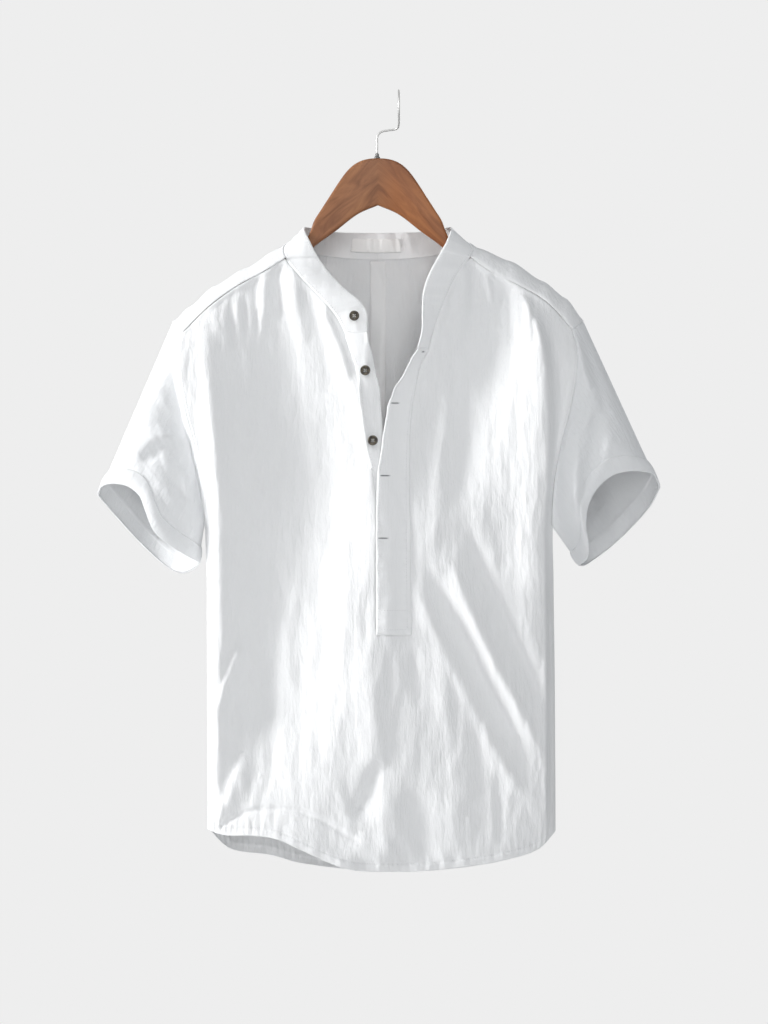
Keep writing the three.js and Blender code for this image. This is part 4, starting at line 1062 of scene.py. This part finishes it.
def wood():
    """Brown stained wood with grain along the hanger's arms and a joint down its middle."""
    material, tree, shader = node_material("stained_wood", roughness=0.5)
    link = tree.links.new
    shader.inputs["Specular IOR Level"].default_value = 0.3
    shader.inputs["Coat Weight"].default_value = 0.08
    shader.inputs["Coat Roughness"].default_value = 0.3
    parts = add(tree, "ShaderNodeSeparateXYZ")
    link(object_space(tree, in_Location=(-CENTRE_FROM_HOOK * METRE, 0, 0)), parts.inputs["Vector"])
    slope = add(tree, "ShaderNodeMath", operation="ABSOLUTE")
    link(parts.outputs["X"], slope.inputs[0])
    slanted = add(tree, "ShaderNodeMath", operation="MULTIPLY_ADD")
    slanted.inputs[1].default_value = 0.9
    link(slope.outputs[0], slanted.inputs[0])
    link(parts.outputs["Z"], slanted.inputs[2])
    vector = add(tree, "ShaderNodeCombineXYZ")
    link(slanted.outputs[0], vector.inputs["X"])
    link(parts.outputs["Y"], vector.inputs["Y"])
    link(parts.outputs["X"], vector.inputs["Z"])
    stretched = add(tree, "ShaderNodeMapping", in_Scale=(70, 30, 26))
    link(vector.outputs["Vector"], stretched.inputs["Vector"])
    grain = add(tree, "ShaderNodeTexNoise", in_Scale=1.0, in_Detail=6.0, in_Roughness=0.62, in_Distortion=0.9)
    link(stretched.outputs["Vector"], grain.inputs["Vector"])
    stained = ramp_between(tree, grain.outputs["Fac"], 0.32, (0.17, 0.062, 0.024), 0.68, (0.34, 0.145, 0.06))
    half = add(tree, "ShaderNodeMapRange")
    half.inputs["From Min"].default_value = -0.004
    half.inputs["From Max"].default_value = 0.02
    link(parts.outputs["X"], half.inputs["Value"])
    warm = add(tree, "ShaderNodeMix", data_type="RGBA", blend_type="MULTIPLY")
    warm.inputs[7].default_value = (1.1, 0.95, 0.72, 1)
    link(half.outputs["Result"], warm.inputs[0])
    link(stained, warm.inputs[6])
    link(warm.outputs[2], shader.inputs["Base Color"])
    bump = add(tree, "ShaderNodeBump", in_Strength=0.25, in_Distance=0.0004)
    link(grain.outputs["Fac"], bump.inputs["Height"])
    link(bump.outputs["Normal"], shader.inputs["Normal"])
    return material


def wire(name, brightness):
    """Drawn steel wire with faint lines."""
    material, tree, shader = node_material(name)
    link = tree.links.new
    shader.inputs["Metallic"].default_value = 1.0
    lines = add(tree, "ShaderNodeTexNoise", in_Scale=1.0, in_Detail=2.0)
    link(object_space(tree, in_Scale=(2500, 2500, 120)), lines.inputs["Vector"])
    shade = add(tree, "ShaderNodeMapRange")
    shade.inputs["To Min"].default_value = 0.4
    shade.inputs["To Max"].default_value = 0.55
    link(lines.outputs["Fac"], shade.inputs["Value"])
    link(shade.outputs["Result"], shader.inputs["Roughness"])
    dark = [0.4 * brightness] * 3
    light = [0.55 * brightness, 0.55 * brightness, 0.54 * brightness]
    tinted(tree, shader, lines.outputs["Fac"], dark, light)
    return material


def horn():
    """Dark horn with paler olive clouds."""
    material, tree, shader = node_material("dark_horn", roughness=0.32)
    clouds = add(tree, "ShaderNodeTexNoise", in_Scale=320.0, in_Detail=3.0, in_Distortion=0.8)
    tree.links.new(object_space(tree), clouds.inputs["Vector"])
    clouded = ramp_between(tree, clouds.outputs["Fac"], 0.4, (0.018, 0.013, 0.009), 0.72, (0.17, 0.14, 0.085))
    tree.links.new(clouded, shader.inputs["Base Color"])
    return material


def thread(name, colour):
    """Twisted thread; the same bands also colour the near-black sheets in the buttonholes' slots, which are
    painted shade.
    """
    material, tree, shader = node_material(name, roughness=0.7)
    twist = add(tree, "ShaderNodeTexWave", bands_direction="DIAGONAL", in_Scale=900.0)
    tree.links.new(object_space(tree), twist.inputs["Vector"])
    tinted(tree, shader, twist.outputs["Fac"], [c * 0.82 for c in colour], colour)
    return material


body_linen = linen("white_linen", (0.9, 0.905, 0.91))
# The back's copy of the linen is a little lighter: painted light that brightens the shirt's inside
back_linen = linen("white_linen_back", (0.91, 0.915, 0.92))
left_linen = linen("white_linen_left_sleeve", (0.88, 0.89, 0.9), turn=math.radians(-33))
right_linen = linen("white_linen_right_sleeve", (0.88, 0.89, 0.9), turn=math.radians(33))
# The bands' copy is lighter than the body's: painted light on the collar and the plackets
band_linen = linen("white_linen_bands", (0.94, 0.945, 0.95), crinkled=0.45)
tape = linen("white_tape", (0.985, 0.985, 0.985), crinkled=0.2)
satin = linen("bare_satin", (0.98, 0.98, 0.97), crinkled=0.1)
white_thread = thread("white_thread", (0.86, 0.87, 0.88))
# The buttonholes' slots: near-black, painted shade in the openings
painted_slit_shade = thread("painted_slit_shade", (0.03, 0.028, 0.026))
horn_material = horn()


def stands_for(piece, slot, *nodes):
    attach(piece, "root")
    if nodes:
        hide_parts(*nodes)
    return piece


# The shirt

front = stands_for(shell("front_cloth", front_sheet(), towards_viewer, CLOTH, body_linen,
                         seam_dip(FRONT_SHOULDER_DIP)), "cloth", "front_panel")


def out_of_back(points):
    """Backwards, for what lies below the shoulders."""
    below_shoulders = points[:, 2] < -300
    return np.where(below_shoulders[:, None], [0.0, 1.0, 0.0], 0.0)


back = stands_for(shell("back_cloth", back_sheet(), out_of_back, CLOTH, back_linen,
                        seam_dip(BACK_SHOULDER_DIP)), "cloth", "back_panel")
for side, sleeve_material in (("left", left_linen), ("right", right_linen)):
    arm, cuff = sleeve(side, sleeve_material)
    stands_for(arm, "cloth", f"sleeve_{side}")
    stands_for(cuff, "cloth", f"cuff_{side}")

collar_position = np.linspace(0, len(COLLAR) - 1, 300)
collar_share = np.array([0, 0.05, 0.12, 0.22, 0.34, 0.46, 0.58, 0.7, 0.8, 0.88, 0.94, 0.975, 1])
collar_grid = collar_points(collar_position[None], collar_share[:, None])
collar = stands_for(shell("collar_cloth", sheet_from(collar_grid), from_neck, BAND, band_linen, COLLAR_DIP),
                    "cloth", "collar_band")
under = stands_for(shell("under_placket_cloth", placket_sheet("left"), towards_viewer, BAND, band_linen,
                         PLACKET_DIP), "cloth", "under_placket")
over = stands_for(shell("over_placket_cloth", placket_sheet("right"), towards_viewer, BAND, band_linen,
                        PLACKET_DIP), "cloth", "over_placket")
strip = stands_for(shell("back_strip_tape", strip_sheet(), away_from_viewer, TAPE, tape),
                   "strip", "back_strip")
label = stands_for(shell("bare_label", label_sheet(), away_from_viewer, LABEL, satin), "label", "neck_label")


# Buttons, four holes each with crossed thread

HIDDEN_BUTTON = 4
# The button's section from the middle of its back to the middle of its face: radius, height
BUTTON_PROFILE = [
    (0, 0), (3.9, 0), (5.2, 0.5), (BUTTON_RADIUS, 1.1), (BUTTON_RADIUS, 1.7), (5.45, 2.2), (5.0, 2.4),
    (4.5, 2.3), (3.9, 1.8), (3.3, 1.55), (0, 1.5),
]
THREAD_HEIGHT = 1.55


def make_button(number):
    """A button on the solid's place, and the two bars of thread that cross in its holes."""
    low, high = np.array(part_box(f"button_{number}")) / METRE
    centre = (low + high) / 2
    back_face = high[1] + (HIDDEN_BUTTON_SINK if number == HIDDEN_BUTTON else -BUTTON_LIFT)
    around = 48
    vertices = []
    for radius, height in BUTTON_PROFILE:
        for k in range(around if radius else 1):
            angle = 2 * math.pi * k / around
            vertices.append((centre[0] + radius * math.cos(angle), back_face - height,
                             centre[2] + radius * math.sin(angle)))
    faces = []
    first = 0
    for (radius, _), (next_radius, _) in zip(BUTTON_PROFILE, BUTTON_PROFILE[1:]):
        after = first + (around if radius else 1)
        for k in range(around):
            n = (k + 1) % around
            if not radius:
                faces.append([first, after + k, after + n])
            elif not next_radius:
                faces.append([first + n, first + k, after])
            else:
                faces.append([first + k, after + k, after + n, first + n])
        first = after
    piece = mesh_object(f"horn_button_{number}", vertices, faces, horn_material)
    cutters = []
    aside = BUTTON_HOLE_OFFSET
    for x, z in ((-aside, -aside), (aside, -aside), (-aside, aside), (aside, aside)):
        bpy.ops.mesh.primitive_cylinder_add(
            vertices=16, radius=BUTTON_HOLE_RADIUS * METRE, depth=8 * METRE, rotation=(math.pi / 2, 0, 0),
            location=((centre[0] + x) * METRE, back_face * METRE, (centre[2] + z) * METRE))
        cutter = bpy.context.object
        cut = piece.modifiers.new("hole", "BOOLEAN")
        cut.object = cutter
        cut.solver = "EXACT"
        cutters.append(cutter)
    bpy.context.view_layer.objects.active = piece
    piece.select_set(True)
    for cut in list(piece.modifiers):
        bpy.ops.object.modifier_apply(modifier=cut.name)
    for cutter in cutters:
        bpy.data.objects.remove(cutter, do_unlink=True)
    piece.data.set_sharp_from_angle(angle=math.radians(40))
    stands_for(piece, "button", f"button_{number}")
    bars = []
    for turn in (1, -1):
        start = np.array([centre[0] - aside, back_face - THREAD_HEIGHT, centre[2] - aside * turn])
        end = np.array([centre[0] + aside, back_face - THREAD_HEIGHT, centre[2] + aside * turn])
        bars.append((np.linspace(start, end, 4), np.broadcast_to([0.0, -1.0, 0.0], (4, 3))))
    return bars


button_runs = [run for number in range(1, 5) for run in make_button(number)]

# Buttonholes on the over-placket: a rim of thread, and a slot that is a near-black sheet, painted shade in
# the opening

BUTTONHOLES = [(423, 353, 1.2), (395, 404, 4.4), (385, 476, 5.2), (383, 538, 5.2)]


def buttonhole(number, x, y, half_length):
    across, down = from_photo(x, y)
    seam = float(slit_across("right", down))
    free = float(look_up(OVER_PLACKET, np.array(down), 1))

    def on_placket(offset, rise):
        share = (across + offset - seam) / (free - seam)
        return placket_points("right", np.array([float(down + rise)]), np.array([float(share)]))[0]

    rim = []
    around = 28
    profile = [(0.35, -0.05), (0.62, 0.35), (1.0, 0.3), (1.25, -0.15)]
    for radius, lift in profile:
        for k in range(around):
            angle = 2 * math.pi * k / around
            stretch = half_length + radius
            offset = max(-stretch, min(stretch, stretch * math.cos(angle)))
            rise = radius * math.copysign(abs(math.sin(angle)) ** 0.45, math.sin(angle))
            rim.append(on_placket(offset, rise) + np.array([0, -0.4 - lift, 0]))
    rim_piece = mesh_object(f"buttonhole_{number}", rim, ring_faces(len(profile), around), white_thread)
    # The slot is a flat near-black sheet on the placket: painted shade of the opening
    slot_points = []
    for k in range(around):
        angle = 2 * math.pi * k / around
        point = on_placket(half_length * math.cos(angle), 0.5 * math.sin(angle))
        slot_points.append(point + np.array([0, -0.5, 0]))
    slot_piece = mesh_object(f"buttonhole_slot_{number}", slot_points, [list(range(around))], painted_slit_shade)
    for piece in (rim_piece, slot_piece):
        stands_for(piece, "cloth")


for number, (x, y, half_length) in enumerate(BUTTONHOLES, 1):
    buttonhole(number, x, y, half_length)

# Rows of stitches

seam_runs = []
for side in ("left", "right"):
    seam = shoulder_places(side, 60)
    beside_armhole = [sign_of(side) * 2.6, 0]
    seam_runs.append(run_on_body(seam + [0, -2.5]))
    if side == "right":
        seam_runs.append(run_on_body(seam + [0, -7.5]))
    seam_runs.append(run_on_body(armhole_front(side, 60)[2:] - beside_armhole))
    seam_runs.append(run_on_body(armhole_behind(side, np.linspace(0.12, 1, 50)) - beside_armhole, True))
hem_runs = [
    run_on_body(resample(front_hem, 160)[4:-4] - [0, HEM_BAND]),
    run_on_body(resample(back_hem, 160)[4:-4] - [0, HEM_BAND], True),
]


def collar_run(share):
    """Points and outward normals along the collar at a share of its height."""
    position = np.linspace(0.12, len(COLLAR) - 1.12, 260)
    points = collar_points(position, share)
    aside = collar_points(position + 0.02, share) - collar_points(position - 0.02, share)
    along = collar_points(position, share + 0.02) - collar_points(position, share - 0.02)
    normals = unit(np.cross(aside, along))
    toward = normals * from_neck(points)
    return points, normals * np.where(toward.sum(1) < 0, -1, 1)[:, None]


def placket_run(side, share, start, end):
    down = np.linspace(start, end, 120)
    points = placket_points(side, down, np.full(120, share))
    normals = np.broadcast_to([0.0, -1.0, 0.0], points.shape)
    return points + [0, -0.4, 0], normals


def placket_cross(side, down):
    share = np.linspace(0.1, 0.9, 20)
    points = placket_points(side, np.full(20, float(down)), share)
    return points + [0, -0.1, 0], np.broadcast_to([0.0, -1.0, 0.0], points.shape)


band_runs = [
    collar_run(0.09), collar_run(0.91),
    placket_run("right", 0.07, 304, 618), placket_run("right", 0.93, 304, 618),
    placket_run("left", 0.07, 290, 440), placket_run("left", 0.92, 290, 470),
    placket_cross("right", 618), placket_cross("right", 596),
]


def cuff_run(side, share):
    start = cuff_shares(side)[None]
    band = sleeve_points(side, start + (1 - start) * share, raised=0.75)[0]
    ring = np.concatenate([band, band[:1]])
    outward = ring - band.mean(0)
    outward[:, 0] *= 0.3
    return ring, unit(outward)


cuff_runs = [cuff_run(side, 0.1) for side in ("left", "right")]
pieces_of_thread = [
    stitches("seam_stitches", seam_runs, white_thread),
    stitches("hem_stitches", hem_runs, white_thread),
    stitches("band_stitches", band_runs, white_thread),
    stitches("cuff_stitches", cuff_runs, white_thread),
    stitches("button_thread", button_runs, white_thread),
]
for piece in pieces_of_thread:
    stands_for(piece, "cloth")


# The hanger

def hanger_piece():
    half = sampled(HANGER, 150)
    left = half[1:-1][::-1] * [-1, 1]
    outline = resample(np.concatenate([half, left, half[:1]]), 360)[:-1]
    step = np.roll(outline, -1, 0) - np.roll(outline, 1, 0)
    normal = unit(np.stack([step[:, 1], -step[:, 0]], -1))
    if ((outline - outline.mean(0)) * normal).sum() < 0:
        normal = -normal
    depth = HANGER_THICKNESS / 2
    rings = [(3.2, -depth), (1.5, -depth + 0.35), (0.4, -depth + 1.4), (0, -depth + 3), (0, depth - 3),
             (0.4, depth - 1.4), (1.5, depth - 0.35), (3.2, depth)]
    count = len(outline)
    vertices = np.concatenate([place(*(outline - inset * normal).T, at) for inset, at in rings])
    faces = ring_faces(len(rings), count)
    faces.append(list(range(count))[::-1])
    faces.append([(len(rings) - 1) * count + k for k in range(count)])
    piece = mesh_object("wooden_hanger", vertices, faces, wood())
    piece.data.set_sharp_from_angle(angle=math.radians(50))
    return piece


stands_for(hanger_piece(), "wood", "hanger_body")


def hook_piece(material):
    stem = CENTRE_FROM_HOOK - 1
    curl_centre = WIRE_RADIUS - HOOK_RADIUS
    route = [
        (stem, 0, -71.4), (stem, 0, -60), (stem + 0.3, 0, -52), (stem + 4, 0, -47), (stem + 12, -0.5, -45),
        (stem + 20, -2, -44), (-1.2, -5, -42), (0, -9.5, -36),
    ]
    for angle in np.radians(np.linspace(205, -35, 17)):
        route.append((0, HOOK_RADIUS * math.cos(angle), curl_centre + HOOK_RADIUS * math.sin(angle)))
    lengthwise = 140
    around = 14
    points = resample(sampled(route, 400), lengthwise)
    steps = unit(np.gradient(points, axis=0))
    aside = unit(np.cross(steps, [0.3, 0.2, 0.9]))
    over = np.cross(steps, aside)
    rings = [points[:, None] + WIRE_RADIUS * (math.cos(a) * aside[:, None] + math.sin(a) * over[:, None])
             for a in np.linspace(0, 2 * math.pi, around, endpoint=False)]
    grid = np.concatenate(rings, 1)
    vertices, quads = sheet_from(grid, closed=True)
    far_end = range(lengthwise * around, (lengthwise + 1) * around)
    faces = quads.tolist() + [list(range(around)), list(far_end)[::-1]]
    return mesh_object("wire_hook", vertices, faces, material)


stands_for(hook_piece(wire("steel_wire", 1.0)), "wire", "hanger_hook")
for material_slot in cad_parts["hanger_ferrule"].material_slots:
    material_slot.material = wire("dark_ferrule", 0.3)

# Studio

FLOOR_HEIGHT = -1.4
DOME_RADIUS = 12
CAMERA_DISTANCE = 6.0
SENSOR = 32

# Lights in metres: place, the place each points at, width and height, and power
LIGHTS = {
    "key": ((-3.75, -0.75, 0.6), (0, 0, -0.45), (1.0, 1.5), 150),
    "front_fill": ((0.8, -7.0, 0.8), (0, 0, -0.45), (3.0, 3.0), 75),
    "back_fill": ((1.6, 6.0, 1.2), (0, 0, -0.45), (3.0, 3.0), 110),
    "floor_bounce": ((0, -1.5, -1.35), (0, 0, -0.6), (2.4, 1.2), 2.2),
    "neck_fill": ((0.1, -1.7, 0.9), (0, 0, -0.2), (0.8, 0.6), 8.5),
}

scene = bpy.context.scene


def add_light(name, location, target, size, power):
    lamp = bpy.data.lights.new(name, "AREA")
    lamp.shape = "RECTANGLE"
    lamp.size, lamp.size_y = size
    lamp.energy = power
    thing = bpy.data.objects.new(name, lamp)
    thing.location = location
    thing.rotation_euler = (Vector(target) - Vector(location)).to_track_quat("-Z", "Y").to_euler()
    scene.collection.objects.link(thing)


def backdrop():
    """A plain pale studio all round, which shows but doesn't light the shirt."""
    bpy.ops.mesh.primitive_uv_sphere_add(segments=48, ring_count=24, radius=DOME_RADIUS)
    dome = bpy.context.object
    dome.name = "pale_backdrop"
    material, tree, _ = node_material("pale_backdrop")
    tree.nodes.clear()
    output = add(tree, "ShaderNodeOutputMaterial")
    glow = add(tree, "ShaderNodeEmission")
    glow.inputs["Color"].default_value = (0.855, 0.855, 0.855, 1)
    tree.links.new(glow.outputs[0], output.inputs["Surface"])
    dome.data.materials.append(material)
    dome.visible_diffuse = False
    dome.visible_shadow = False


def pale_floor():
    """A plain pale floor below the frame, which throws a little light up."""
    corners = [(x, y, FLOOR_HEIGHT) for x, y in ((-2.5, -3), (2.5, -3), (2.5, 2), (-2.5, 2))]
    material, _, shader = node_material("pale_floor")
    shader.inputs["Base Color"].default_value = (0.8, 0.8, 0.8, 1)
    floor = mesh_object("pale_floor", np.array(corners) / METRE, [[0, 1, 2, 3]], material)


backdrop()
pale_floor()
for name, light in LIGHTS.items():
    add_light(name, *light)
world = bpy.data.worlds.new("soft_fill")
world.use_nodes = True
background = world.node_tree.nodes["Background"]
background.inputs["Color"].default_value = (0.92, 0.96, 1.0, 1)
background.inputs["Strength"].default_value = 0.27
scene.world = world
scene.view_settings.view_transform = "Standard"

camera = bpy.data.objects.new("camera", bpy.data.cameras.new("camera"))
camera.data.sensor_fit = "VERTICAL"
camera.data.sensor_height = SENSOR
camera.data.lens = SENSOR * CAMERA_DISTANCE / (PHOTO_HEIGHT * PIXEL * METRE)
camera.data.clip_end = 60
middle_across, middle_down = from_photo(*PHOTO_MIDDLE)
camera.location = ((middle_across + CENTRE_FROM_HOOK) * METRE, -CAMERA_DISTANCE, -middle_down * METRE)
camera.rotation_euler = (math.pi / 2, 0, 0)
scene.collection.objects.link(camera)
scene.camera = camera
